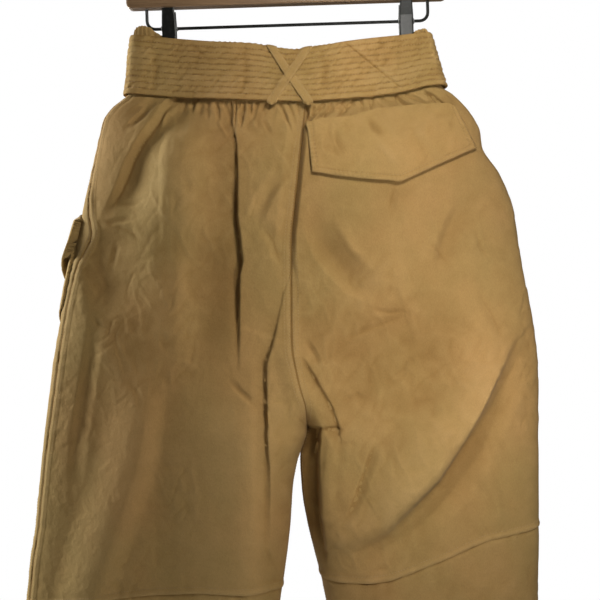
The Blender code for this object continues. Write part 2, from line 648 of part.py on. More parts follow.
BACK_FLAP_TOP = [(26.6, -245.7), (42.5, -241.1), (68.0, -239.2), (82.0, -235.1),
                 (103.5, -228.3), (146.0, -223.5), (179.0, -221.0), (188.0, -226.0)]
BACK_FLAP_BOTTOM = [(31.8, -298.5), (62.0, -303.5), (94.0, -306.5), (125.4, -308.5),
                    (166.0, -289.5), (207.0, -270.2)]
FLAP_WALL = 1.8           # two layers
FLAP_EDGE = 0.8           # clear of the panel where it is sewn


def along_line(points, count, corner=None):
    """Points spread along a line of X, Z points, with one on the named corner."""
    points = np.array(points, float)
    length = np.concatenate([[0], np.cumsum(np.linalg.norm(np.diff(points, axis=0), axis=1))])
    length /= length[-1]
    wanted = np.linspace(0, 1, count)
    if corner is not None:
        wanted[np.argmin(np.abs(wanted - length[corner]))] = length[corner]
    return np.stack([np.interp(wanted, length, points[:, k]) for k in (0, 1)], axis=-1)


def build_back_flap():
    top = along_line(BACK_FLAP_TOP, 20)
    bottom = along_line(BACK_FLAP_BOTTOM, 20, corner=3)
    outer_rows, inner_rows = [], []
    for down in (0.0, 0.2, 0.4, 0.6, 0.8, 1.0):
        xz = top + (bottom - top) * down
        angle, row = place_on("right", "back", xz[:, 0], xz[:, 1])
        base = skin("right", angle, row, gathers=0.0)
        out = skin_normal("right", angle, row, gathers=0.0)
        cleared = GATHER_HEIGHT * (1 - smoothstep((WAIST_Z - row - 6) / 34))
        lift = FLAP_EDGE + cleared + 2.2 * down ** 1.5
        inner_rows.append(hung(base + out * lift[:, None]))
        outer_rows.append(hung(base + out * (lift + FLAP_WALL)[:, None]))
    return wall("back_flap", outer_rows, inner_rows, KHAKI, smooth_below=35)


# A cargo pocket in the side's own measure: along is from the side seam forward.
POCKET_WALL = 1.5
POCKET_WIDTH = 132.0
PocketEdge = namedtuple("PocketEdge", "along top bottom")
POCKET_EDGES = [PocketEdge(1.0, -357, -432), PocketEdge(26.0, -350, -461),
                PocketEdge(106.0, -344, -468), PocketEdge(POCKET_WIDTH, -342, -452)]
CARGO_FLAP_EDGES = [PocketEdge(0.6, -349, -357), PocketEdge(28.0, -338, -411),
                    PocketEdge(78.0, -333, -425), PocketEdge(POCKET_WIDTH + 2, -330, -398)]


def forward_angles(half, along, z):
    """Section angles at lengths forward of the side seam, at one height."""
    seam = side_angle(half, z)
    dense = np.linspace(seam, 2 * math.pi - turn_angle(z), 500)
    path = base_point(half, dense, z)[:, :2]
    length = np.concatenate([[0], np.cumsum(np.hypot(*np.diff(path, axis=0).T))])
    return np.interp(along, length, dense)


def side_patch(name, half, edge_rows, wall_thick, lift_at, columns, downs):
    """A patch on a front panel, made of the panel's own points moved out."""
    first, last = edge_rows[0].along, edge_rows[-1].along
    alongs = np.linspace(0, 1, columns) ** 1.6 * (last - first) + first
    for corner in edge_rows[1:-1]:
        alongs[np.argmin(np.abs(alongs - corner.along))] = corner.along
    outer_rows, inner_rows = [], []
    tops = np.interp(alongs, [r.along for r in edge_rows], [r.top for r in edge_rows])
    bottoms = np.interp(alongs, [r.along for r in edge_rows], [r.bottom for r in edge_rows])
    for down in downs:
        heights = tops + (bottoms - tops) * down
        angles = np.array([forward_angles(half, a, z) for a, z in zip(alongs, heights)])
        base = skin(half, angles, heights)
        out = skin_normal(half, angles, heights)
        lift = lift_at((alongs - first) / (last - first), down)
        inner_rows.append(hung(base + out * lift[:, None]))
        outer_rows.append(hung(base + out * (lift + wall_thick)[:, None]))
    return wall(name, outer_rows, inner_rows, KHAKI, smooth_below=35)


def pocket_lift(along, down):
    """Close to the panel along its edges, and fuller in the middle."""
    round_the_side = 0.85 * (1 - smoothstep(along / 0.45))
    return 0.6 + round_the_side + 1.2 * np.sin(math.pi * along) * math.sin(math.pi * down)


def cargo_flap_lift(along, down):
    """Sewn down at the top, it stands off over the pocket's mouth."""
    stand_off = 4.6 * smoothstep(down / 0.12)
    return 0.7 + stand_off + 4.6 * down * smoothstep(along / 0.12) * (1 - 0.5 * along)


def build_cargo_pockets():
    for half in ("left", "right"):
        side_patch(f"cargo_pocket_{half}", half, POCKET_EDGES, POCKET_WALL, pocket_lift, 17,
                   np.linspace(0, 1, 7))
        side_patch(f"cargo_flap_{half}", half, CARGO_FLAP_EDGES, FLAP_WALL, cargo_flap_lift, 15,
                   (0, 0.05, 0.11, 0.4, 0.7, 1))


# ---------------------------------------------------------------- the hanger

HANGER_TILT = math.radians(1.85)
BAR_LENGTH, BAR_HEIGHT, BAR_THICK = 352.0, 30.0, 12.0
BAR_BOTTOM = -108.0
WIRE_RADIUS = 1.75
WIRE_SPAN = 309.0
WIRE_Z = -130.1
WIRE_CORNER = 9.0
CLIP_SPREAD = 130.15          # each clip's distance from the middle
CLIP_WIDTH = 15.5
CLIP_WALL = 1.2
HOOK_RADIUS = 21.75           # of the wire's centre line
HOOK_WIRE = 1.75


def wire_curve(name, points, radius, parent):
    curve = bpy.data.curves.new(name, "CURVE")
    curve.dimensions = "3D"
    curve.bevel_depth = radius * MM
    curve.bevel_resolution = 2
    curve.use_fill_caps = True
    line = curve.splines.new("POLY")
    line.points.add(len(points) - 1)
    for spot, point in zip(line.points, points):
        spot.co = (*(Vector(point) * MM), 1)
    curve.materials.append(material(name, BLACK_METAL, 0.4, 1.0))
    thing = bpy.data.objects.new(name, curve)
    bpy.context.scene.collection.objects.link(thing)
    thing.parent = parent
    return thing


def arc(centre_x, centre_z, radius, from_deg, to_deg, steps):
    turns = np.radians(np.linspace(from_deg, to_deg, steps))
    return [(centre_x + radius * math.cos(t), 0.0, centre_z + radius * math.sin(t)) for t in turns]


def build_hanger():
    rig = bpy.data.objects.new("hanger_frame", None)
    rig.rotation_euler = (0, -HANGER_TILT, 0)
    bpy.context.scene.collection.objects.link(rig)

    mesh = bpy.data.meshes.new("hanger_bar")
    shape = bmesh.new()
    bmesh.ops.create_cube(shape, size=1)
    bmesh.ops.scale(shape, vec=Vector((BAR_LENGTH, BAR_THICK, BAR_HEIGHT)) * MM, verts=shape.verts)
    bmesh.ops.translate(shape, vec=(0, 0, (BAR_BOTTOM + BAR_HEIGHT / 2) * MM), verts=shape.verts)
    ends = [e for e in shape.edges if abs(e.verts[0].co.x - e.verts[1].co.x) < 1e-6
            and abs(e.verts[0].co.z - e.verts[1].co.z) < 1e-6]
    bmesh.ops.bevel(shape, geom=ends, offset=6 * MM, segments=3, affect="EDGES", profile=0.5)
    rims = [e for e in shape.edges if e.calc_face_angle(0) > math.radians(60)]
    bmesh.ops.bevel(shape, geom=rims, offset=1.6 * MM, segments=2, affect="EDGES", profile=0.5)
    bmesh.ops.triangulate(shape, faces=shape.faces)
    shape.to_mesh(mesh)
    shape.free()
    finish("hanger_bar", mesh, OAK, 40, 0.45, 0.0, rig)

    side, low = WIRE_SPAN / 2, WIRE_Z
    under_bar = BAR_BOTTOM - SEAM_GAP
    route = [(-side, 0, under_bar)]
    route += arc(-side + WIRE_CORNER, low + WIRE_CORNER, WIRE_CORNER, 180, 270, 6)
    route += arc(side - WIRE_CORNER, low + WIRE_CORNER, WIRE_CORNER, 270, 360, 6)
    route += [(side, 0, under_bar)]
    wire_curve("clip_wire", route, WIRE_RADIUS, rig)

    crown = HOOK_WIRE - HOOK_RADIUS
    bar_top = BAR_BOTTOM + BAR_HEIGHT + SEAM_GAP
    route = [(0, 0, bar_top), (0, 0, crown - HOOK_RADIUS - 16)]
    route += arc(HOOK_RADIUS * 0.62, crown - HOOK_RADIUS - 14, HOOK_RADIUS * 0.62, 180, 115, 4)
    route += arc(0, crown, HOOK_RADIUS, -48, 200, 19)
    wire_curve("hook", route, HOOK_WIRE, rig)

    for sign, place in ((-1, "left"), (1, "right")):
        for facing, layer in ((-1, "back"), (1, "front")):
            clip_plate(f"clip_{layer}_{place}", sign * CLIP_SPREAD, facing, rig)


# The side view of a clip's plate: its inner face's distance from the middle plane.
ClipStation = namedtuple("ClipStation", "z inner")
CLIP_SIDE = [ClipStation(-150.5, 3.1), ClipStation(-149.0, 2.5), ClipStation(-141.0, 2.5),
             ClipStation(-131.0, 2.55), ClipStation(-124.0, 2.8), ClipStation(-109.5, 6.6)]


def clip_plate(name, x, facing, parent):
    """One pressed plate, with its long edges turned over a little."""
    outer_rows, inner_rows = [], []
    for number, station in enumerate(CLIP_SIDE):
        half = CLIP_WIDTH / 2 - (1.2 if number in (0, len(CLIP_SIDE) - 1) else 0)
        places = (-half, -half + 1.5, half - 1.5, half)
        bow = (0.0, 0.5, 0.5, 0.0)
        inner_rows.append([Vector((x + p, facing * station.inner, station.z)) for p in places])
        outer_rows.append([Vector((x + p, facing * (station.inner + CLIP_WALL - 0.5 + b), station.z))
                           for p, b in zip(places, bow)])
    plate = wall(name, outer_rows, inner_rows, BLACK_METAL, smooth_below=35)
    plate.parent = parent
    return plate


# ---------------------------------------------------------------- build

for old in list(bpy.data.objects):
    bpy.data.objects.remove(old, do_unlink=True)

build_panels()
build_waistband()
build_belt()
for belt_loop in BELT_LOOPS:
    build_belt_loop(belt_loop)
build_back_flap()
build_cargo_pockets()
build_hanger()
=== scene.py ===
"""Looks of a pair of paperbag waist trousers that hangs from a wooden clip hanger.

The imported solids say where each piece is. Every cloth solid is replaced by a fine
shell of the same cut, with the creases, gathers, puckers and stitching of washed cotton.
Sizes are millimetres until a mesh is made, in the trousers' own frame.
"""

from collections import namedtuple
import math

import bmesh
import bpy
import numpy as np
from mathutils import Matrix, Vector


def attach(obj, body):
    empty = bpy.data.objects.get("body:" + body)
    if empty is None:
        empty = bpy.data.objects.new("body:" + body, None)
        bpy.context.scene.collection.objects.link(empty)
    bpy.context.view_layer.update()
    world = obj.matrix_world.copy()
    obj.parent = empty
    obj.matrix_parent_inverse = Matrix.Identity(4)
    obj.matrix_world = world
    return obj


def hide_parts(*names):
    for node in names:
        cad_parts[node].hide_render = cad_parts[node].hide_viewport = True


MM = 0.001
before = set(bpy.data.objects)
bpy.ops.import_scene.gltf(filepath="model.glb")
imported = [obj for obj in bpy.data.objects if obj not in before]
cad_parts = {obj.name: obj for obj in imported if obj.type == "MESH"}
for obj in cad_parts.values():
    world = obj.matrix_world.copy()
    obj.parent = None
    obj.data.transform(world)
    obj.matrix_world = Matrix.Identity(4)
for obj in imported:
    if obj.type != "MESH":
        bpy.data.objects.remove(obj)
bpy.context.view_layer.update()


# ---------------------------------------------------------------- the studio
# The hanger hangs in front of a white wall. One soft lamp stands close by at the
# wearer's right and a small one over the waist, with weak light from far off to the left.

CAMERA_AT = (17.75, -917.0, -432.5)
CAMERA_LENS = 50.0
FILM_WIDTH = 36.0
FLOOR_AT = (0.0, 150.0, -1290.0)
FLOOR_RADIUS = 1250.0
FLOOR_SHADES = ((0.80, 0.80, 0.79), (0.86, 0.86, 0.85))
WALL_SEEN = (1.0, 1.0, 1.0, 1)
WALL_GLOW = (0.93, 0.96, 1.0, 1)
WALL_GLOW_POWER = 0.02


def table(columns, *rows):
    """Rows of sizes under named columns."""
    row = namedtuple("Row", columns)
    return [row(*sizes) for sizes in rows]


LAMPS = table(
    "name at aim size power colour",
    ("key_light", (185, -335, -475), (240, 0, -600), 70, 0.83, (1.0, 0.965, 0.93)),
    ("top_light", (120, -335, -70), (90, 0, -230), 80, 1.15, (1.0, 0.975, 0.93)),
    ("left_fill", (-1800, 200, 0), (20, 0, -560), 450, 52.0, (0.93, 0.98, 1.0)),
    ("low_fill", (300, -900, -1100), (20, 0, -400), 500, 0.7, (1.0, 0.98, 0.95)),
    ("right_fill", (1500, -300, 100), (20, 0, -400), 700, 4.6, (1.0, 0.97, 0.92)),
    ("rear_light", (-500, 1700, 200), (0, 0, -500), 1000, 26.0, (1.0, 0.98, 0.95)),
)

Paint = namedtuple("Paint", "material nodes links shader place")


def in_scene(name, data):
    thing = bpy.data.objects.new(name, data)
    bpy.context.scene.collection.objects.link(thing)
    return thing


def plug(paint, node, **inputs):
    """Sets a node's named inputs to values, or joins them to other nodes' outputs."""
    for name, value in inputs.items():
        socket = node.inputs[name.replace("_", " ")]
        if isinstance(value, bpy.types.NodeSocket):
            paint.links.new(value, socket)
        else:
            socket.default_value = value
    return node


def new_paint(name, roughness, metallic=0.0):
    """A material, with its shader and the coordinates that its patterns follow."""
    material = bpy.data.materials.new(name)
    material.use_nodes = True
    tree = material.node_tree
    place = tree.nodes.new("ShaderNodeTexCoord").outputs["Object"]
    paint = Paint(material, tree.nodes, tree.links, tree.nodes["Principled BSDF"], place)
    plug(paint, paint.shader, Roughness=roughness, Metallic=metallic)
    return paint


def add_node(paint, kind, **inputs):
    return plug(paint, paint.nodes.new("ShaderNode" + kind), **inputs)


def ramp(paint, factor, low, high, low_at=0.3, high_at=0.7):
    shades = add_node(paint, "ValToRGB", Fac=factor)
    for stop, at, colour in zip(shades.color_ramp.elements, (low_at, high_at), (low, high)):
        stop.position = at
        stop.color = (*colour, 1)
    return shades.outputs["Color"]


def build_lamps():
    for lamp in LAMPS:
        light = bpy.data.lights.new(lamp.name, "AREA")
        light.shape = "DISK"
        light.size = lamp.size * MM
        light.energy = lamp.power
        light.color = lamp.colour
        hung_up = in_scene(lamp.name, light)
        hung_up.visible_camera = False
        hung_up.location = Vector(lamp.at) * MM
        way = Vector(lamp.aim) - Vector(lamp.at)
        hung_up.rotation_euler = way.to_track_quat("-Z", "Y").to_euler()


def build_camera():
    lens = bpy.data.cameras.new("camera")
    lens.lens = CAMERA_LENS
    lens.sensor_width = FILM_WIDTH
    camera = in_scene("camera", lens)
    camera.location = Vector(CAMERA_AT) * MM
    camera.rotation_euler = (math.pi / 2, 0, 0)
    bpy.context.scene.camera = camera


def build_wall_light():
    """White where it is seen, and dimmer where it lights the cloth."""
    world = bpy.data.worlds.new("studio")
    bpy.context.scene.world = world
    world.use_nodes = True
    nodes, links = world.node_tree.nodes, world.node_tree.links
    wall = Paint(world, nodes, links, None, None)
    seen = plug(wall, nodes["Background"], Color=WALL_SEEN)
    lit = add_node(wall, "Background", Color=WALL_GLOW, Strength=WALL_GLOW_POWER)
    path = add_node(wall, "LightPath")
    mix = add_node(wall, "MixShader", Fac=path.outputs["Is Camera Ray"])
    links.new(lit.outputs["Background"], mix.inputs[1])
    links.new(seen.outputs["Background"], mix.inputs[2])
    plug(wall, nodes["World Output"], Surface=mix.outputs["Shader"])


def build_floor():
    mesh = bpy.data.meshes.new("floor")
    shape = bmesh.new()
    bmesh.ops.create_circle(shape, cap_ends=True, segments=96, radius=FLOOR_RADIUS * MM)
    shape.to_mesh(mesh)
    shape.free()
    floor = in_scene("floor", mesh)
    floor.location = Vector(FLOOR_AT) * MM
    paint = new_paint("floor_paint", 0.8)
    mottle = add_node(paint, "TexNoise", Scale=3.0).outputs["Fac"]
    plug(paint, paint.shader, Base_Color=ramp(paint, mottle, *FLOOR_SHADES, 0.0, 1.0))
    mesh.materials.append(paint.material)


build_camera()
build_lamps()
build_wall_light()
build_floor()
bpy.context.scene.view_settings.view_transform = "Standard"


# ---------------------------------------------------------------- the clip hanger
# A bar of varnished light oak with a black steel hook. A black wire runs under it and
# carries two sprung clips, each two pressed plates on a coil spring round the wire.

OAK_LIGHT = (0.30, 0.185, 0.095)
OAK_DARK = (0.16, 0.09, 0.042)
OAK_PORES = (0.35, 0.3, 0.25)
BLACK = (0.009, 0.0095, 0.008)
BLACK_RUBBED = (0.03, 0.03, 0.028)
STEEL = (0.42, 0.42, 0.41)
STEEL_DULL = (0.3, 0.3, 0.29)
HANGER_TILT = math.radians(1.85)
WIRE_Z = -130.1
CLIP_SPREAD = 130.15
SPRING_LENGTH = 18.0
SPRING_RADIUS = 2.5
SPRING_WIRE = 0.55
SPRING_TURNS = 13
SPRING_STEPS = 12            # points of its wire in each turn
MIX_FACTOR, MIX_FIRST, MIX_SECOND, MIX_RESULT = 0, 6, 7, 2   # a colour mix's own sockets


def stretched(paint, scale):
    return add_node(paint, "Mapping", Vector=paint.place, Scale=scale).outputs["Vector"]


def noise_at(paint, place, scale, detail=2.0, roughness=0.5):
    return add_node(paint, "TexNoise", Vector=place, Scale=scale, Detail=detail,
                    Roughness=roughness).outputs["Fac"]


def blend_colours(paint, factor, first, second, kind="MIX"):
    mix = paint.nodes.new("ShaderNodeMix")
    mix.data_type = "RGBA"
    mix.blend_type = kind
    for value, number in ((factor, MIX_FACTOR), (first, MIX_FIRST), (second, MIX_SECOND)):
        if isinstance(value, bpy.types.NodeSocket):
            paint.links.new(value, mix.inputs[number])
        else:
            mix.inputs[number].default_value = (*value, 1) if isinstance(value, tuple) else value
    return mix.outputs[MIX_RESULT]


def bump(paint, height, strength, distance, under=None):
    raised = add_node(paint, "Bump", Height=height, Strength=strength, Distance=distance * MM)
    if under is not None:
        plug(paint, raised, Normal=under)
    plug(paint, paint.shader, Normal=raised.outputs["Normal"])
    return raised.outputs["Normal"]


def oak():
    paint = new_paint("oak", 0.42)
    grain = noise_at(paint, stretched(paint, (6, 90, 160)), 3.0, 6.0, 0.6)
    pores = noise_at(paint, stretched(paint, (60, 900, 1500)), 2.0)
    colour = ramp(paint, grain, OAK_DARK, OAK_LIGHT, 0.25, 0.72)
    pitted = ramp(paint, pores, OAK_PORES, (1, 1, 1), 0.32, 0.5)
    plug(paint, paint.shader, Coat_Weight=0.25, Coat_Roughness=0.3,
         Base_Color=blend_colours(paint, 0.35, colour, pitted, "MULTIPLY"))
    bump(paint, grain, 0.25, 0.3)
    return paint.material


def black_metal():
    paint = new_paint("black_metal", 0.42, 0.3)
    scuff = noise_at(paint, paint.place, 260.0, 4.0)
    plug(paint, paint.shader, Base_Color=ramp(paint, scuff, BLACK, BLACK_RUBBED, 0.5, 0.85))
    bump(paint, scuff, 0.1, 0.1)
    return paint.material


def bare_steel():
    paint = new_paint("bare_steel", 0.34, 0.9)
    brushed = noise_at(paint, paint.place, 700.0)
    plug(paint, paint.shader, Base_Color=ramp(paint, brushed, STEEL_DULL, STEEL))
    return paint.material


def tilted(x, y, z):
    """A point given along the hanger, which hangs a little out of level."""
    c, s = math.cos(HANGER_TILT), math.sin(HANGER_TILT)
    return (x * c - z * s, y, x * s + z * c)


def build_spring(name, x, paint):
    turns = np.linspace(0, 2 * math.pi * SPRING_TURNS, SPRING_TURNS * SPRING_STEPS)
    along = np.linspace(-SPRING_LENGTH / 2, SPRING_LENGTH / 2, len(turns))
    curve = bpy.data.curves.new(name, "CURVE")
    curve.dimensions = "3D"
    curve.bevel_depth = SPRING_WIRE * MM
    curve.bevel_resolution = 2
    line = curve.splines.new("POLY")
    line.points.add(len(turns) - 1)
    for spot, turn, step in zip(line.points, turns, along):
        y, z = SPRING_RADIUS * math.cos(turn), WIRE_Z + SPRING_RADIUS * math.sin(turn)
        spot.co = (*(Vector(tilted(x + step, y, z)) * MM), 1)
    curve.materials.append(paint)
    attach(in_scene(name, curve), "root")


def finish_hanger():
    wood, black, steel = oak(), black_metal(), bare_steel()
    for name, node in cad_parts.items():
        if name.startswith(("hanger_bar", "hook", "clip_")):
            node.data.materials.clear()
            node.data.materials.append(wood if name == "hanger_bar" else black)
    for side, sign in (("left", -1), ("right", 1)):
        build_spring(f"clip_spring_{side}", sign * CLIP_SPREAD, steel)


finish_hanger()


# ---------------------------------------------------------------- cotton
# Every cloth piece is cut from one bolt of khaki cotton twill, garment dyed and washed,
# so the colour drifts between olive and tan and the raised edges are a little faded.
# Light and shade are painted in too: lighter on raised folds, darker in creases and hollows.

KHAKI = (0.37, 0.225, 0.076)
KHAKI_OLIVE = (0.32, 0.218, 0.076)
KHAKI_TAN = (0.41, 0.232, 0.086)
KHAKI_WORN_AND_LIT = (0.52, 0.345, 0.155)
KHAKI_SHADE_AND_JOINT = (0.22, 0.115, 0.03)
TWILL_PITCH = 0.9            # from one diagonal rib of the weave to the next
WEAR_AND_SHADE_NAME = "fade"                # a point's wear, painted light and painted shade: +1 lighter, -1 darker
WEAR_AND_LIGHT_MOST = 0.25             # how much of the faded colour shows at most: worn edges, and painted light on ridges
SHADE_AND_JOINT_MOST = 0.7              # how much of the deep colour shows at most: painted shade in creases, and seam joints


def cotton(name, body):
    paint = new_paint(name, 0.88)
    drift = noise_at(paint, stretched(paint, (1, 1, 0.7)), 9.0, 3.0, 0.55)
    colour = ramp(paint, drift, KHAKI_OLIVE, KHAKI_TAN, 0.36, 0.66)
    colour = blend_colours(paint, 0.5, colour, body)
    blotch = noise_at(paint, paint.place, 60.0, 4.0, 0.6)
    tone = ramp(paint, blotch, (0.93, 0.93, 0.92), (1.04, 1.04, 1.05))
    colour = blend_colours(paint, 1.0, colour, tone, "MULTIPLY")
    # Wear and painted light go toward the faded colour; painted shade and seam joints toward the
    # deep one.
    fade = add_node(paint, "Attribute")
    fade.attribute_name = WEAR_AND_SHADE_NAME
    shade_and_wear = fade.outputs["Fac"]
    for full_at, most, shade in ((1.0, WEAR_AND_LIGHT_MOST, KHAKI_WORN_AND_LIT), (-1.0, SHADE_AND_JOINT_MOST, KHAKI_SHADE_AND_JOINT)):
        share = add_node(paint, "MapRange", Value=shade_and_wear, From_Max=full_at, To_Max=most)
        colour = blend_colours(paint, share.outputs["Result"], colour, shade)
    yarn = noise_at(paint, stretched(paint, (1.0, 1.0, 0.35)), 1500.0)
    speck = ramp(paint, yarn, (0.9, 0.9, 0.9), (1.08, 1.08, 1.08), 0.35, 0.65)
    plug(paint, paint.shader, Base_Color=blend_colours(paint, 0.7, colour, speck, "MULTIPLY"),
         Sheen_Weight=0.03, Sheen_Roughness=0.5, Specular_IOR_Level=0.15)
    rough = bump(paint, noise_at(paint, paint.place, 170.0, 5.0, 0.6), 0.75, 0.9)
    twill = add_node(paint, "TexWave", Vector=stretched(paint, (1, 0.6, 1)), Distortion=1.2,
                     Scale=0.36 / (TWILL_PITCH * MM), Detail=2.0)
    twill.bands_direction = "DIAGONAL"
    bump(paint, twill.outputs["Fac"], 0.25, 0.12, rough)
    return paint.material


cloth = cotton("cloth", KHAKI)


# ---------------------------------------------------------------- legs and seat
# Four long panels, back and front of each leg, gathered into the waist, with four lower
# ones seamed on at the knee. Cotton twill 1.3 mm thick over its slub, hems turned up.

WALL = 1.3
HEM_WALL = 2.4
SEAM_GAP = 0.3
WAIST_Z = -218.6
BELT_TUCK = 3.0
KNEE_Z = -735.0
HEM_Z = -1209.0
HEM_DEPTH = 25.0
SECTION_POWER = 2.4
CLIP_X = (-123.9, 136.4)
CLIP_FLAT = 9.0
PINCH = 2.2
HANG_SHIFT = -1.5
CLIP_OPENING = 6.4           # how far the waist opens from the clips to the belt's bottom
BULGE, BULGE_GAIN = 15.0, 5.0         # its half depth between the clips, and more below
END_ROLL, ROLL_LOSS = 3.2, 1.0        # and at its ends
FRONT_SHARE = 0.8            # of the back's bulge
SEAT_Z = -560.0              # from here down the rows bend towards the knee seam
WAIST_BEND, KNEE_BEND = 100, 150      # how far under each seam its bend in them reaches
MIDDLE_X = 26.0              # of the middle seam at the waist
FAR_END = 400                # an outer edge that belongs to the other half
FILLED_BY = 55               # how far below the waist the body has its full depth

LEVELS = table(
    "z left right in_left in_right back_left back_right front_left front_right turn",
    (-196, -170, 175.6, 27, 27, 21, 21, 17, 17, 1),
    (-201, -170.2, 176.8, 27, 27, 22, 22, 18, 18, 1),
    (-208, -170.6, 186.5, 27, 27, 24, 24, 20, 20, 1),
    (-214, -175.5, 193, 26, 26, 26, 26, 22, 22, 1),
    (-222, -185.5, 201, 25.5, 25.5, 30, 30, 25, 25, 1),
    (-234, -195, 210.5, 24, 24, 34, 34, 28, 28, 1),
    (-248, -199, 216.5, 22, 22, 38, 38, 32, 32, 1),
    (-265, -202.5, 219, 20.5, 20.5, 41, 41, 36, 36, 1),
    (-295, -209.5, 238, 17.5, 17.5, 44, 44, 40, 40, 1),
    (-328, -217.5, 251.5, 14, 14, 46, 46, 42, 42, 1),
    (-377, -228, 260, 10, 10, 47, 47, 43, 43, 1),
    (-427, -238.5, 270, 10, 10, 46, 46, 43, 43, 1),
    (-476, -247.5, 279, 10.5, 10.5, 44, 44, 42, 42, 0.98),
    (-520, -254, 281, 18, 18, 41.8, 42, 40, 40, 0.84),
    (-548, -257.4, 281, 25.5, 25.5, 40, 41.6, 38.2, 40.4, 0.52),
    (-562, -259, 280.8, 26.8, 26.5, 39.1, 41.7, 37.2, 40.8, 0.27),
    (-568, -259.6, 280.6, 27.2, 26.9, 38.6, 41.8, 36.8, 41.1, 0.13),
    (-573, -260.2, 280.6, 27.3, 26.7, 38.3, 42, 36.4, 41.5, 0),
    (-590, -262, 280.7, 23, 22.7, 37.1, 42.6, 35.2, 43, 0),
    (-598, -262.8, 280.8, 19.9, 20.2, 36.6, 42.9, 34.7, 43.9, 0),
    (-606, -263.6, 280.9, 17, 19.6, 36.2, 43.3, 34.2, 44.9, 0),
    (-641, -267, 281, 11, 21.5, 35, 46, 33, 48, 0),
    (-674, -270, 281, 9, 27, 34, 48, 32, 51, 0),
    (-740, -279, 280.5, 1, 43.5, 33, 51, 31, 54, 0),
    (-800, -282, 280, -9, 55, 33, 50, 31, 52, 0),
    (-900, -282.5, 277.5, -25, 66, 32, 46, 31, 48, 0),
    (-1000, -279, 273.5, -38, 72, 31, 41, 30, 42, 0),
    (-1100, -273, 269, -51, 76, 30, 37, 29, 37, 0),
    (-1209, -266, 264, -64, 79, 28, 33, 27, 32, 0),
)

SIDE_SEAMS = table(
    "z left right",
    (-218, 0.6, 0.6), (-250, 1.5, 2), (-295, 3.5, 5), (-317, 6, 6.5), (-340, 11, 7.5),
    (-361, 18.5, 8), (-382, 13.5, 8.5), (-408, 9.8, 9), (-435, 9, 9), (-521, 9, 9), (-608, 6, 8),
    (-762, 5.5, 7), (-1209, 5, 6),
)

LEG_ROUNDS = table(
    "z share",
    (-480, 0.12), (-573, 0.14), (-640, 0.22), (-760, 0.34), (-950, 0.45), (-1209, 0.5),
)

BELT_EDGES = table(
    "x top bottom",
    (-172, -142, -208), (-109, -147.5, -213), (-72, -152, -216), (-35, -155.5, -219),
    (12, -163, -221.5), (39, -159, -220), (68, -152.5, -217), (127, -143, -207.5),
    (160, -140, -200), (178, -143, -198.5),
)

KNEE_LINE = table(
    "across left right",
    (0, -11, 4), (0.25, -7, 8), (0.50, -12, 27), (0.75, -22, 49), (1, -33, 57),
)

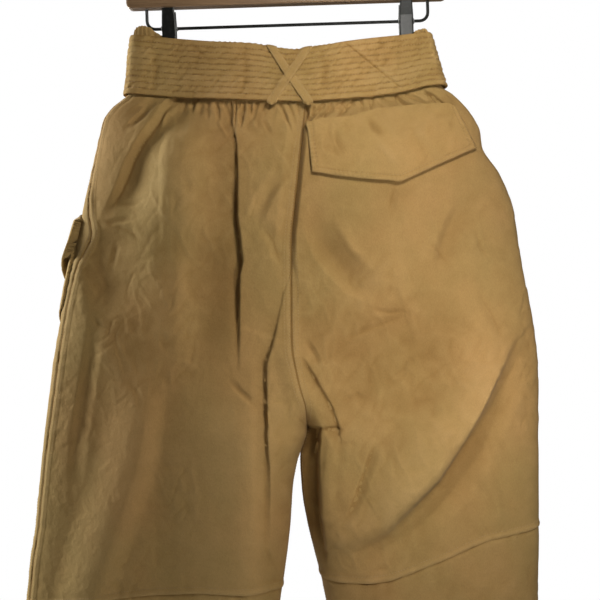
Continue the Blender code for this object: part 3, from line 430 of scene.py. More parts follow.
# A fold's path runs down the cloth in X, Z; west and east are its widths to each side;
# height is out (+) or in (-); start and end are the shares of it left at its two ends.
FOLD = "path west east height start end"
BACK_FOLDS = table(
    FOLD,
    # the knife pleat over the left hip
    ([(-51, -259), (-50, -275), (-49, -307), (-49, -344), (-45.5, -370), (-43.4, -391),
      (-46.6, -406), (-47.7, -443), (-47, -520)], 56, 4, -10.5, 0.5, 0),
    ([(-82, -345), (-86, -400), (-88, -460), (-86, -520)], 26, 36, -8, 0.1, 0.1),
    # the deep fold from the left clip to the side, and the one beside it
    ([(-122, -221), (-131, -238), (-144, -258), (-159, -284), (-172, -316), (-191, -349)],
      9, 52, -8, 0.7, 0.1),
    ([(-144, -221), (-152, -232), (-168, -248)], 5, 8, -2.6, 0.4, 0.2),
    ([(-123, -235), (-122, -306), (-120, -380)], 8, 16, 1.6, 0.3, 0.1),
    ([(-122, -240), (-114, -290), (-112, -340), (-118, -390)], 54, 50, 9, 0.3, 0.1),
    ([(-200, -350), (-192, -400), (-180, -460)], 30, 66, -9, 0.2, 0.2),
    ([(-194, -350), (-155, -346)], 5, 5, -1.4, 0.3, 0.2),
    # the seat seam pulled inward
    ([(25.6, -228), (26.7, -236), (22.4, -247), (18.2, -289), (14, -328), (9.9, -365), (9.9, -393),
      (15, -425)], 18, 6, -7.5, 0.3, 0.1),
    ([(3.5, -296), (-12, -316), (-20.5, -333), (-28, -354)], 12, 10, -4.5, 0.1, 0.1),
    ([(-21, -352), (-8, -372), (0, -402)], 9, 12, -3, 0.2, 0.1),
    # the left thigh
    ([(-140, -500), (-145, -560), (-152, -600), (-164, -640), (-178, -680), (-200, -745)],
      50, 24, 8.5, 0.1, 0.9),
    ([(-84, -495), (-74, -560), (-66, -620), (-62, -690), (-66, -740)], 50, 50, -3, 0.05, 0.9),
    ([(-48, -510), (-46, -600), (-46, -740)], 92, 50, 15, 0.05, 0.9),
    ([(4, -425), (-6, -470), (-14, -500), (-13, -600), (-13, -700)], 3, 44, 5.5, 0.2, 0.5),
    ([(-0.6, -438), (-11, -481), (-20, -497), (-18.5, -533), (-18.6, -600), (-18.7, -695),
      (-3, -731)], 14, 4, -3, 0.1, 0.4),
    ([(-54, -517), (-46, -527), (-38, -534), (-25, -545)], 4, 6, -2.4, 0.2, 0.2),
    ([(-196, -430), (-206, -500), (-220, -580), (-226, -660)], 10, 14, -2.4, 0.1, 0.1),
    ([(-178, -372), (-186, -400)], 6, 6, -1.4, 0.2, 0.2),
    ([(-184, -352), (-160, -360), (-148, -372)], 3, 6, -1.2, 0.6, 0.1),
    ([(-176, -330), (-156, -331), (-144, -326)], 3, 6, -1, 0.6, 0.1),
    ([(-205, -452), (-190, -462), (-182, -461)], 4, 6, -1, 0.2, 0.1),
    ([(-160, -520), (-152, -532), (-149, -548)], 4, 6, -0.9, 0.2, 0.1),
    ([(-104, -300), (-98, -312), (-97, -326)], 4, 6, -0.9, 0.2, 0.1),
    ([(15.7, -556), (21, -562), (27.6, -569)], 4, 4, -3, 0.5, 0.6),
    # the right hip and thigh
    ([(34, -350), (48, -383), (76, -414), (106, -427)], 16, 24, -10, 0.2, 0.1),
    ([(58, -352), (76, -382), (100, -398)], 8, 10, 1.8, 0.2, 0.1),
    ([(194, -326), (182, -350), (172, -376), (165, -411)], 12, 18, -6, 0.2, 0.1),
    ([(119, -312), (111.5, -343)], 6, 8, -2.2, 0.4, 0.1),
    ([(152, -372), (166, -380), (176, -396)], 5, 5, -1.4, 0.2, 0.2),
    ([(98, -443), (114, -446), (130, -445)], 4, 4, -1.3, 0.2, 0.2),
    ([(112, -520), (130, -508), (140, -492)], 4, 5, -1.2, 0.2, 0.1),
    ([(196, -500), (184, -512), (180, -530)], 4, 6, -1.1, 0.2, 0.1),
    ([(206, -360), (212, -378), (222, -390)], 4, 6, -1.2, 0.2, 0.1),
    ([(64, -540), (80, -534), (92, -538)], 4, 4, -1.1, 0.3, 0.1),
    ([(66, -476), (104, -460), (135, -448)], 4, 6, -1.5, 0.2, 0.2),
    ([(249, -458), (211, -539), (157, -613), (104, -665), (40, -688)], 56, 22, 18, 0.1, 0.3),
    ([(256, -478), (226, -530), (198, -584), (170, -626), (138, -655), (100, -690)],
      10, 34, -12.5, 0.15, 0.2),
    ([(30, -485), (90, -505), (150, -500), (215, -455)], 80, 105, -16, 0.3, 0.2),
    ([(101.6, -575), (88, -612), (72, -654), (58, -676)], 3.5, 9, -3.2, 0.1, 0.2),
    # where the legs part: a ridge beside the seam, the valley east of it, and its ledge
    ([(11, -470), (15, -508), (22, -535), (28, -560)], 22, 18, 5, 0.1, 0.8),
    ([(18, -489), (39, -525), (52, -549), (58, -566)], 24, 4, -4.5, 0.1, 1),
    ([(26, -568), (42, -569), (58, -568)], 8, 3, -5, 0.8, 0.8),
    ([(52, -572), (46, -622), (48, -686)], 7, 12, 3, 0.3, 0.1),
    ([(27, -478), (36, -492), (40, -505)], 6, 5, -2, 0.3, 0.2),
    ([(206, -600), (226, -640), (240, -684)], 12, 12, 2.4, 0.1, 0.1),
    ([(206, -420), (224, -446), (238, -480)], 9, 9, -1.6, 0.1, 0.1),
    # below the knees
    ([(-160, -770), (-168, -880), (-150, -1010), (-154, -1120)], 26, 28, -5, 0.2, 0.2),
    ([(-214, -780), (-206, -870), (-222, -960)], 14, 18, 2.6, 0.2, 0.1),
    ([(-96, -790), (-90, -870), (-108, -960)], 12, 16, -2.6, 0.1, 0.1),
    ([(180, -760), (160, -880), (176, -1010), (168, -1120)], 26, 28, -5, 0.2, 0.2),
    ([(228, -780), (218, -880), (232, -980)], 14, 18, 2.8, 0.2, 0.1),
    ([(104, -800), (116, -900), (106, -1000)], 12, 14, -2.6, 0.1, 0.1),
)
# The gathers of the back that show below the belt, each a short pleat of its own.
BACK_PLEATS = table(
    FOLD,
    # over the left hip
    ([(-98, -218), (-98, -231)], 3, 3, -2.4, 1, 0.1),
    ([(-89, -220), (-90, -234)], 4, 4, -1.5, 1, 0.1),
    ([(-81, -220), (-80, -239)], 3, 3.5, -2, 1, 0.1),
    ([(-107, -218), (-109, -228)], 3, 3, -1.4, 1, 0.1),
    ([(-124, -224), (-130, -243)], 4, 3, 1.6, 0.3, 0.2),
    ([(-72, -221), (-70, -232), (-69, -245)], 3, 4, -3, 1, 0.1),
    ([(-75, -224), (-67, -243), (-55, -262)], 3, 2.5, 1.6, 0.3, 0.1),
    ([(-62, -221), (-57, -234), (-53, -248)], 3, 3, -2.6, 1, 0.1),
    ([(-56, -220), (-54, -230)], 2.2, 2.4, -2.4, 1, 0.1),
    # the sewn tuck
    ([(-50, -220), (-50, -261)], 1.8, 1.8, -2.4, 1, 0.9),
    # from the tuck to the middle seam
    ([(-46, -221), (-45, -232), (-45, -239)], 2, 2, -2.2, 1, 0.1),
    ([(-42, -221), (-43, -236), (-44, -251)], 2.4, 2.8, -3.4, 1, 0.1),
    ([(-34, -221), (-34, -238)], 2.5, 3, -2.8, 1, 0.1),
    ([(-27, -222), (-30, -231), (-32, -242)], 2.5, 3, -2.2, 1, 0.1),
    ([(-24, -227), (-17, -232), (-21, -239)], 2, 2, -1.2, 0.3, 0.1),
    ([(-13, -222), (-15, -232)], 2.5, 2.5, -2, 1, 0.1),
    ([(-20, -239), (-16, -247), (-12, -257)], 4, 4, -1.6, 0.2, 0.1),
    ([(-2, -224), (4, -239), (11, -254)], 3, 3, -2.6, 1, 0.1),
    ([(2, -226), (10, -243), (13, -258)], 3, 3, 1.2, 0.3, 0.1),
    ([(6, -223), (11, -232), (13, -241)], 2.5, 2.5, -1.8, 1, 0.1),
    ([(17, -225), (18, -236)], 2.5, 3, -2.2, 1, 0.1),
    ([(26, -225), (27, -233), (22, -247), (19, -273)], 2.2, 3, -3, 1, 0.3),
    # slanting to the pocket flap
    ([(34, -227), (31, -237), (26, -245)], 2.5, 3, -2.2, 1, 0.2),
    ([(44, -224), (36, -232), (27, -243)], 3, 3, -3, 1, 0.2),
    ([(54, -222), (46, -231), (36, -240)], 3, 3, -1.6, 1, 0.2),
    ([(66, -220), (51, -230), (37, -242)], 3, 4, -3.2, 1, 0.3),
    ([(77, -217), (67, -228), (59, -238)], 3, 4, -3, 1, 0.3),
    ([(85, -216), (87, -224), (85, -230)], 2.5, 2.5, -2.4, 1, 0.2),
    ([(98, -215), (96, -224), (94, -231)], 2, 2.6, -2.6, 1, 0.2),
    ([(108, -214), (115, -217), (124, -216)], 2, 2, -1.4, 0.6, 0.2),
    ([(124, -211), (128, -217), (136, -222), (151, -224)], 3, 4, -2.6, 1, 0.2),
    ([(136, -210), (147, -215), (164, -224)], 3, 4, -1.8, 1, 0.2),
    ([(156, -207), (165, -213), (176, -222), (191, -234), (198, -247)], 3.5, 3, -3.2, 1, 0.2),
)
FRONT_FOLDS = table(
    FOLD,
    ([(-52, -236), (-60, -300), (-58, -380), (-66, -470)], 22, 12, -7, 0.3, 0),
    ([(-128, -226), (-136, -262), (-150, -310)], 20, 12, -6, 0.4, 0),
    ([(92, -228), (88, -300), (96, -380), (90, -460)], 12, 22, -7, 0.3, 0),
    ([(24, -238), (18, -290), (12, -360), (11, -420)], 12, 14, -5, 0.3, 0.1),
    ([(-110, -480), (-60, -512), (-14, -548)], 14, 14, -4, 0.1, 0.2),
    ([(160, -478), (105, -512), (62, -550)], 14, 14, -4, 0.1, 0.2),
    ([(-90, -560), (-104, -630), (-96, -700)], 18, 22, -6, 0.1, 0.3),
    ([(132, -560), (142, -625), (128, -700)], 22, 18, -6, 0.1, 0.3),
    ([(-190, -575), (-176, -650), (-184, -740)], 26, 24, 5, 0.1, 0.3),
    ([(-30, -300), (-24, -356), (-34, -410)], 10, 12, -2.4, 0.2, 0.1),
    ([(150, -250), (158, -300), (150, -340)], 10, 10, -2.6, 0.3, 0.1),
    ([(54, -240), (50, -290), (58, -340)], 8, 10, -2.2, 0.4, 0.1),
    ([(-86, -240), (-92, -280), (-84, -330)], 8, 10, -2.2, 0.4, 0.1),
    ([(-156, -790), (-148, -900), (-166, -1010), (-156, -1120)], 28, 26, -5, 0.2, 0.2),
    ([(170, -780), (186, -890), (166, -1000), (174, -1120)], 28, 26, -5, 0.2, 0.2),
    ([(-220, -780), (-212, -870), (-226, -960)], 14, 18, 2.6, 0.2, 0.1),
    ([(226, -780), (216, -880), (230, -980)], 14, 18, 2.6, 0.2, 0.1),
)

SHARP_SIDE = 9.5              # a crease with a side narrower than this has a sharp bottom
CREASE_LINE = 1.5             # half width of the painted shade line there
DARKEST_AT = 6.0              # the depth from which that line is at its darkest
FOLD_LIGHT_AND_SHADE = 0.04             # painted light for each mm a fold stands out, painted shade for each mm it sinks
CREASE_PAINTED_SHADE = 1.1             # painted shade along a sharp crease's line, on top of that
CRINKLE_HEIGHT = 0.9
GATHERS_PER_PANEL = 12
GATHER_HEIGHT = 2.8
BACK_GATHER_SHARE = 0.38      # of the even gathers, left under the back's own pleats
TUCK_SHARE = 0.65             # how far the right thigh's inner strip is drawn in
TUCK_TOP, TUCK_END = -566, -640
TUCK_EDGE = table("z x", (-566, 41), (-600, 39), (-650, 41), (-700, 47))


def smooth_curve(knots, values, at):
    """Cubic through the values that doesn't overshoot them."""
    order = np.argsort(knots)
    x = np.asarray(knots, float)[order]
    y = np.asarray(values, float)[order]
    step = np.diff(x)
    slope = np.diff(y) / step
    tangent = np.empty(len(x))
    tangent[0], tangent[-1] = slope[0], slope[-1]
    before, after = slope[:-1], slope[1:]
    same_way = before * after > 0
    both = np.where(same_way, before + after, 1)
    tangent[1:-1] = np.where(same_way, 2 * before * after / both, 0)
    at = np.clip(at, x[0], x[-1])
    i = np.clip(np.searchsorted(x, at) - 1, 0, len(x) - 2)
    t = (at - x[i]) / step[i]
    return ((1 + 2 * t) * (1 - t) ** 2 * y[i] + t * (1 - t) ** 2 * step[i] * tangent[i]
            + t * t * (3 - 2 * t) * y[i + 1] - t * t * (1 - t) * step[i] * tangent[i + 1])


def column(rows, name, at, key="z"):
    """A table's named column, read at any height (or at any key)."""
    return smooth_curve([getattr(r, key) for r in rows], [getattr(r, name) for r in rows], at)


def smoothstep(t):
    t = np.clip(t, 0, 1)
    return t * t * (3 - 2 * t)


def fading(value, start, length):
    """1 up to the start, and down to 0 over the length after it."""
    return 1 - smoothstep((value - start) / length)


def rising(share, t):
    """From a share, at t 0, up to 1, at t 1."""
    return share + (1 - share) * smoothstep(t)


def near(off, width):
    """1 on a line, and almost nothing at twice the width off it."""
    return np.exp(-(off / width) ** 2)


def lengths(points, axis=0):
    """How far each point is from the first, along one axis of a path or a grid."""
    first = np.take(points, [0], axis=axis)
    steps = np.linalg.norm(np.diff(points, axis=axis, prepend=first), axis=-1)
    return np.cumsum(steps, axis=axis)


def waist_depth(x, down, left_end, right_end, face_share=1.0, gripped=0.0):
    """Half depth of the pinched waist at x, from the belt's top (down 0) to its bottom."""
    middle = sum(CLIP_X) / 2
    reach = (CLIP_X[1] - CLIP_X[0]) / 2
    away = np.abs(x - middle)
    pinch = PINCH + CLIP_OPENING * np.maximum(0, down - gripped) / (1 - gripped)
    crown = (1 - np.clip(away / (reach - CLIP_FLAT), 0, 1) ** 2) ** 1.5
    bulge = (BULGE + BULGE_GAIN * down) * face_share * crown
    end = np.where(x < middle, middle - left_end, right_end - middle)
    past = np.clip((away - reach - CLIP_FLAT) / (end - reach - CLIP_FLAT), 0, 1)
    roll = (END_ROLL - ROLL_LOSS * down) * smoothstep(past / 0.75)
    return (pinch + bulge + roll) * np.sqrt(1 - past ** 6)


def waist_seam(x):
    return column(BELT_EDGES, "bottom", x, "x") + BELT_TUCK


def shifts(half, x, across, z):
    """How far the rows of points bend to follow the waist seam and the knee seam."""
    near_waist = fading(WAIST_Z - z, 0, WAIST_BEND)
    near_knee = smoothstep((z - SEAT_Z) / (KNEE_Z - SEAT_Z)) * fading(KNEE_Z - z, 0, KNEE_BEND)
    return (near_waist * (waist_seam(x) - WAIST_Z)
            + near_knee * column(KNEE_LINE, half, across, "across"))


def edges(half, z):
    """Middle and outer edge of a half at a row's nominal height."""
    rough_out = column(LEVELS, half, z)
    inner = column(LEVELS, "in_" + half, z + shifts(half, MIDDLE_X, 0.0, z))
    outer = column(LEVELS, half, z + shifts(half, rough_out, 1.0, z))
    return inner, outer


def turn_angle(z):
    return np.clip(column(LEVELS, "turn", z), 0, 1) * math.pi / 2


def turn_cosine(z):
    return np.maximum(np.cos(turn_angle(z)), 0)


def share_across(angle, z):
    """A half's width passed at a section angle: 0 at the middle seam, 1 at the outer edge."""
    start = turn_cosine(z)
    return (start - np.cos(angle)) / (1 + start)


def base_point(half, angle, z):
    """Unfolded skin. angle goes round the section from the middle seam of the back,
    by pi at the outer edge, and returns along the front."""
    angle, z = np.broadcast_arrays(np.asarray(angle, float), np.asarray(z, float))
    inner, outer = edges(half, z)
    start, across = turn_cosine(z), share_across(angle, z)
    x = inner + (outer - inner) * across
    back = np.sin(angle) >= 0
    depth = np.where(back, column(LEVELS, "back_" + half, z), column(LEVELS, "front_" + half, z))
    to_inner = np.clip(1 - across / column(LEG_ROUNDS, "share", z), 0, 1)
    rounding = (1 - np.clip(across, 0, 1) ** SECTION_POWER) * (1 - start ** SECTION_POWER
                                                               * to_inner ** SECTION_POWER)
    full = depth * np.maximum(rounding, 0) ** (1 / SECTION_POWER)
    ends = (outer, FAR_END) if half == "left" else (-FAR_END, outer)
    pinched = waist_depth(x, 1.0, *ends, np.where(back, 1.0, FRONT_SHARE))
    filled = smoothstep((WAIST_Z - z) / FILLED_BY)
    y = ((1 - filled) * pinched + filled * full) * np.where(back, -1, 1)
    return np.stack([x, y, z + shifts(half, x, across, z)], axis=-1)


def fold_shape(fold, x, z):
    """A fold's height at x, z, and the painted shade along its crease's bottom, if that is sharp.
    """
    points = np.array(fold.path, float)
    steps = np.linalg.norm(np.diff(points, axis=0), axis=1)
    best = np.full(np.shape(x), np.inf)
    side, along = np.zeros(np.shape(x)), np.zeros(np.shape(x))
    walked = 0.0
    for a, b, length in zip(points[:-1], points[1:], steps):
        dx, dz = (b - a) / length
        t = np.clip((x - a[0]) * dx + (z - a[1]) * dz, 0, length)
        distance = np.hypot(x - a[0] - t * dx, z - a[1] - t * dz)
        closer = distance < best
        best = np.where(closer, distance, best)
        side = np.where(closer, dx * (z - a[1]) - dz * (x - a[0]), side)
        along = np.where(closer, (walked + t) / steps.sum(), along)
        walked += length
    turn = min(3.0, fold.west / 2, fold.east / 2)
    width = fold.west + (fold.east - fold.west) * smoothstep((side / turn + 1) / 2)
    profile = (1 - np.minimum(best / width, 1) ** 2) ** 2
    fade = rising(fold.start, along / 0.3) * rising(fold.end, (1 - along) / 0.4)
    sharp = fold.height < 0 and min(fold.west, fold.east) < SHARP_SIDE
    shade = min(1.0, -fold.height / DARKEST_AT) if sharp else 0.0
    return fold.height * profile * fade, near(best, CREASE_LINE) * fade * shade


def folded(folds, x, z):
    """The height of all the folds at x, z, and the strongest painted shade of their crease lines.
    """
    height, line = 0.0, 0.0
    for fold in folds:
        rise, dark = fold_shape(fold, x, z)
        height, line = height + rise, np.maximum(line, dark)
    return height, line


def crumple(u, v, grain_u, grain_v, seed):
    """Random soft dents from -1 to 1, a grain apart along u and along v."""
    cells = 128
    lattice = np.random.default_rng(seed).uniform(-1, 1, (cells, cells))
    a, b = u / grain_u, v / grain_v
    i, j = np.floor(a).astype(int), np.floor(b).astype(int)
    s, t = smoothstep(a - i), smoothstep(b - j)
    i, j = i % cells, j % cells
    beyond, under = (i + 1) % cells, (j + 1) % cells
    return ((lattice[i, j] * (1 - s) + lattice[beyond, j] * s) * (1 - t)
            + (lattice[i, under] * (1 - s) + lattice[beyond, under] * s) * t)


def crinkle(x, z, seed):
    """Wrinkles of washed cotton: thin sharp ridges over broad soft dents."""
    bent_x = x + 5 * crumple(x, z, 21, 26, seed + 1)
    bent_z = z + 5 * crumple(x, z, 24, 19, seed + 2)
    broad = crumple(bent_x, bent_z, 30, 46, seed + 3)
    ridges = 1 - np.abs(crumple(bent_x + 0.35 * bent_z, bent_z, 15, 27, seed + 4)) * 2.2
    cross = 1 - np.abs(crumple(bent_x - 0.5 * bent_z, bent_z, 13, 22, seed + 5)) * 2.2
    patchy = rising(0.35, 0.5 + crumple(x, z, 55, 70, seed + 6))
    fine = crumple(bent_x, bent_z, 5.5, 8, seed + 7)
    return 0.45 * broad + patchy * (0.5 * np.maximum(ridges, 0) - 0.48 * np.maximum(cross, 0)
                                    + 0.3 * fine)


def gather_height(across, z, seed):
    """Gathers under the waist seam, uneven in length, spacing and depth."""
    drop = WAIST_Z - z
    place = across * (1.3 - 0.3 * across)
    wander = 0.16 * np.sin(31 * place + 0.03 * drop) + 0.1 * np.sin(77 * place - 0.05 * drop)
    turns = 2 * math.pi * (GATHERS_PER_PANEL * place + wander)
    length = 30 + 12 * np.sin(19 * place + seed) + 7 * np.sin(43 * place)
    large = GATHER_HEIGHT * (0.75 + 0.25 * np.sin(29 * place + seed)) * np.cos(turns)
    small = 0.5 * np.cos(2.3 * turns + 1.0) * fading(drop, 3, 20)
    return (large + small) * rising(0.15, (drop - 2) / 9) * fading(drop, 6, length)


def side_angle(half, z):
    """Where the side seam lies round the section."""
    inner, outer = edges(half, z)
    start = turn_cosine(z)
    across = 1 - column(SIDE_SEAMS, half, z) / abs(outer - inner)
    angle = math.acos(start - across * (1 + start))
    return angle if half == "left" else 2 * math.pi - angle


def panel_angles(half, face, z, count):
    """Angles of columns that run straight down, closer together at a half's edges."""
    seam, middle = side_angle(half, z), turn_angle(z)
    first, last = (middle, seam) if face == "back" else (seam, 2 * math.pi - middle)
    dense = np.linspace(first, last, 400)
    length = lengths(base_point(half, dense, z)[:, :2])
    across = np.clip(share_across(dense, z), 0, 1)
    place = 0.5 * across + 0.5 * np.arccos(1 - 2 * across) / math.pi
    measure = np.concatenate([[0], np.cumsum(np.abs(np.diff(place)) + 1e-6)])
    ends = np.interp([SEAM_GAP / 2, length[-1] - SEAM_GAP / 2], length, measure)
    return np.interp(np.linspace(*ends, count), measure, dense)


def grid_normals(points, sign):
    cross = np.cross(np.gradient(points, axis=1), np.gradient(points, axis=0))
    return sign * cross / np.maximum(np.linalg.norm(cross, axis=-1, keepdims=True), 1e-9)


def tucked_in(x, z):
    """The strip of the right thigh beside the gap between the legs, drawn in under a ledge."""
    inside = fading(x, column(TUCK_EDGE, "x", z) - 2, 3.5)
    return inside * smoothstep((TUCK_TOP - z) / 4) * fading(TUCK_END - z, 0, 90)


def skin(half, angle, z, gathers=True, seed=0):
    """The cloth's outer face with its folds and gathers: points, out, painted light and shade."""
    sign = 1 if half == "left" else -1
    base = base_point(half, angle, z)
    x, hung_z = base[..., 0], base[..., 2]
    on_back = smoothstep((4 - base[..., 1]) / 8)
    back, back_line = folded(BACK_FOLDS, x, hung_z)
    front, front_line = folded(FRONT_FOLDS, x, hung_z)
    height = back * on_back + front * (1 - on_back)
    line = np.maximum(back_line * on_back, front_line * (1 - on_back))
    across = share_across(angle, z)
    legs_apart = smoothstep(column(LEVELS, "turn", z) * 1.2 - 0.2)
    height *= rising(legs_apart, across / 0.14)
    if gathers:
        pleats, pleat_line = folded(BACK_PLEATS, x, hung_z)
        sewn_in = rising(0.3, (WAIST_Z - z) / 2) * on_back
        height += gather_height(across, z, seed) * (1 - (1 - BACK_GATHER_SHARE) * on_back)
        height += pleats * sewn_in
        line = np.maximum(line, 0.8 * pleat_line * sewn_in)
    points = base + grid_normals(base, sign) * height[..., None]
    if half == "right":
        points[..., 1] *= 1 - TUCK_SHARE * tucked_in(points[..., 0], points[..., 2]) * on_back
    # Its third output is painted light on folds that stand out and painted shade in folds and
    # creases.
    return points, grid_normals(points, sign), FOLD_LIGHT_AND_SHADE * height - CREASE_PAINTED_SHADE * line


def rim_faces(outer, inner):
    """Triangles from a long row of points to a shorter one beside it."""
    made, i, j = [], 0, 0
    last, end = len(outer) - 1, len(inner) - 1
    while i < last or j < end:
        if i < last and (j == end or (i + 1) / last <= (j + 1) / end):
            made.append((outer[i], outer[i + 1], inner[j]))
            i += 1
        else:
            made.append((outer[i], inner[j + 1], inner[j]))
            j += 1
    return made


def cloth_piece(name, points, faces, paint):
    """A smooth mesh of garment points, which hang a little off the hanger's middle."""
    mesh = bpy.data.meshes.new(name)
    mesh.from_pydata(((points + np.array([HANG_SHIFT, 0, 0])) * MM).tolist(), [], faces)
    mesh.materials.append(paint)
    piece = in_scene(name, mesh)
    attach(piece, "root")
    return piece


def shell(name, outer, inner, paint, fade, closed=False, sharp=70):
    """A closed wall between a fine grid of outer points and a coarser one of inner points."""
    def quads(first, rows, columns, flip):
        r, c = np.meshgrid(np.arange(rows - 1), np.arange(columns if closed else columns - 1),
                           indexing="ij")
        ahead = (c + 1) % columns
        around = [r * columns + c, r * columns + ahead, (r + 1) * columns + ahead,
                  (r + 1) * columns + c]
        found = np.stack(around, -1).reshape(-1, 4) + first
        return (found[:, ::-1] if flip else found).tolist()

    def line(first, rows, columns, side):
        """The vertex numbers along one side: 0 top, 1 bottom, 2 start, 3 end."""
        ids = np.arange(rows * columns).reshape(rows, columns) + first
        picked = (ids[0], ids[-1], ids[:, 0], ids[:, -1])[side].tolist()
        return picked + picked[:1] if closed and side < 2 else picked

    start = outer.shape[0] * outer.shape[1]
    grids = (0, *outer.shape[:2]), (start, *inner.shape[:2])
    faces = quads(*grids[0], False) + quads(*grids[1], True)
    for side in range(2 if closed else 4):
        faces += rim_faces(*(line(*grid, side) for grid in grids))
    points = np.concatenate([outer.reshape(-1, 3), inner.reshape(-1, 3)])
    piece = cloth_piece(f"{name}_cloth", points, faces, paint)
    mesh = piece.data
    shape = bmesh.new()
    shape.from_mesh(mesh)
    bmesh.ops.recalc_face_normals(shape, faces=shape.faces)
    if shape.calc_volume(signed=True) < 0:
        bmesh.ops.reverse_faces(shape, faces=shape.faces)
    shape.to_mesh(mesh)
    shape.free()
    mesh.shade_smooth()
    mesh.set_sharp_from_angle(angle=math.radians(sharp))
    # The outer face's wear, painted light and painted shade go to the fade attribute.
    wear_and_shade = np.zeros(len(points), np.float32)
    wear_and_shade[:start] = np.clip(fade, -1, 1).ravel()
    mesh.attributes.new(WEAR_AND_SHADE_NAME, "FLOAT", "POINT").data.foreach_set("value", wear_and_shade)
    return piece


def coarse(grid, step):
    """Every so many rows and columns of a grid, with the last ones kept."""
    return grid[np.ix_(*(sorted({*range(0, size, step), size - 1}) for size in grid.shape[:2]))]


STITCH_PITCH = 3.2
STITCH_LENGTH = 2.3
STITCH_THICK = 0.55
THREAD = (0.40, 0.265, 0.12)
THREAD_DARK = (0.30, 0.19, 0.08)


def thread_paint():
    paint = new_paint("thread", 0.7)
    twist = noise_at(paint, paint.place, 2500.0)
    plug(paint, paint.shader, Base_Color=ramp(paint, twist, THREAD_DARK, THREAD))
    bump(paint, twist, 0.2, 0.1)
    return paint.material


thread = thread_paint()


def stitching(name, lines, pitch=STITCH_PITCH):
    """Separate stitches along lines of (points, outward directions), in one mesh. Each is
    a spindle: a point at either end and two rings of four between."""
    points, faces = [], []
    pattern = []
    for k in range(4):
        after = (k + 1) % 4
        pattern += [(0, 2 + k, 2 + after), (1, 6 + after, 6 + k), (2 + k, 6 + k, 6 + after),
                    (2 + k, 6 + after, 2 + after)]
    for path, out in lines:
        length = lengths(path)
        count = max(int(length[-1] / pitch), 1)
        middles = (np.arange(count) + 0.5) * length[-1] / count

        def at(array, where):
            return np.stack([np.interp(where, length, array[:, k]) for k in range(3)], -1)

        centre, normal = at(path, middles), at(out, middles)
        ahead = at(path, middles + STITCH_LENGTH / 2) - at(path, middles - STITCH_LENGTH / 2)
        ahead /= np.maximum(np.linalg.norm(ahead, axis=1, keepdims=True), 1e-6)
        side = np.cross(ahead, normal)
        side /= np.maximum(np.linalg.norm(side, axis=1, keepdims=True), 1e-6)
        half = STITCH_THICK / 2
        corners = [centre + end * ahead * STITCH_LENGTH / 2 - normal * half * 0.4
                   for end in (-1, 1)]
        for reach in (-0.55, 0.55):
            middle = centre + ahead * STITCH_LENGTH / 2 * reach
            corners += [middle + normal * half, middle + side * half * 0.9,
                        middle - normal * half, middle - side * half * 0.9]
        first = len(points)
        points += np.stack(corners, 1).reshape(-1, 3).tolist()
        faces += [tuple(first + number * 10 + v for v in face)
                  for number in range(count) for face in pattern]
    piece = cloth_piece(name, np.array(points), faces, thread)
    piece.data.shade_smooth()
    return piece


def sewn_line(outer, out, from_edge, inset, keep):
    """The stitching's points and directions down a grid, at an inset from one of its edges."""
    place = np.abs(from_edge - inset).argmin(axis=1)
    rows = np.arange(len(outer))
    return outer[rows, place][keep], out[rows, place][keep]


# Each panel's grid runs from its top to its bottom; its inner face keeps every third or
# fourth row and column.
UPPER, LOWER = (WAIST_Z, KNEE_Z + SEAM_GAP / 2), (KNEE_Z - SEAM_GAP / 2, HEM_Z)
CUTS = table(
    "name face top bottom rows columns inner_step flat area",
    ("back", "back", *UPPER, 380, 220, 4, (0.33, 0.54), 0.148),
    ("front", "front", *UPPER, 200, 110, 3, (0.33, 0.54), 0.148),
    ("lower_back", "back", *LOWER, 170, 90, 3, (0.31, 0.5), 0.13),
    ("lower_front", "front", *LOWER, 150, 80, 3, (0.31, 0.5), 0.13),
)
FELL = 9.0                   # width of a felled seam
FELL_STITCHES = (1.8, FELL - 2.2)
KNEE_STITCH = 6.5
HEM_STITCH = 22.0


def seam_relief(cut, from_start, from_end, z, points):
    """Felled seams, the knee seam's ridge, hem and the small puckers beside each."""
    x, hung_z = points[..., 0], points[..., 2]
    pucker = crumple(hung_z, x, 7, 40, 91)
    side, middle = (from_end, from_start) if cut.face == "back" else (from_start, from_end)
    together = rising(0.2, (column(LEVELS, "turn", z) - 0.85) / 0.15)
    relief = 0.0
    for gap, share in ((side, 1.0), (middle, 0.6 * together)):
        sewn = sum(near(gap - inset, 1.1) for inset in FELL_STITCHES)
        raised = 0.6 * fading(gap, FELL - 1.2, 1.6) - 0.35 * sewn - near(gap, 1.0)
        relief = relief + share * (raised + 0.4 * pucker * fading(gap, FELL, 7))
    if cut.bottom > HEM_Z:
        above = z - KNEE_Z
        relief = relief + 0.9 * near(above - 2.5, 2.4) + 0.4 * fading(above, 0, 11)
    else:
        below, hem = KNEE_Z - z, z - HEM_Z - HEM_STITCH
        puckers = crumple(x, hung_z, 6.5, 60, 57)
        relief = relief + 0.8 * puckers * np.exp(-below / 14) - 0.6 * near(below, 1.6)
        relief = relief - 0.5 * near(hem, 1.2) + 0.5 * puckers * fading(hem, 0, 6)
    return relief * smoothstep((WAIST_Z - z) / 6)


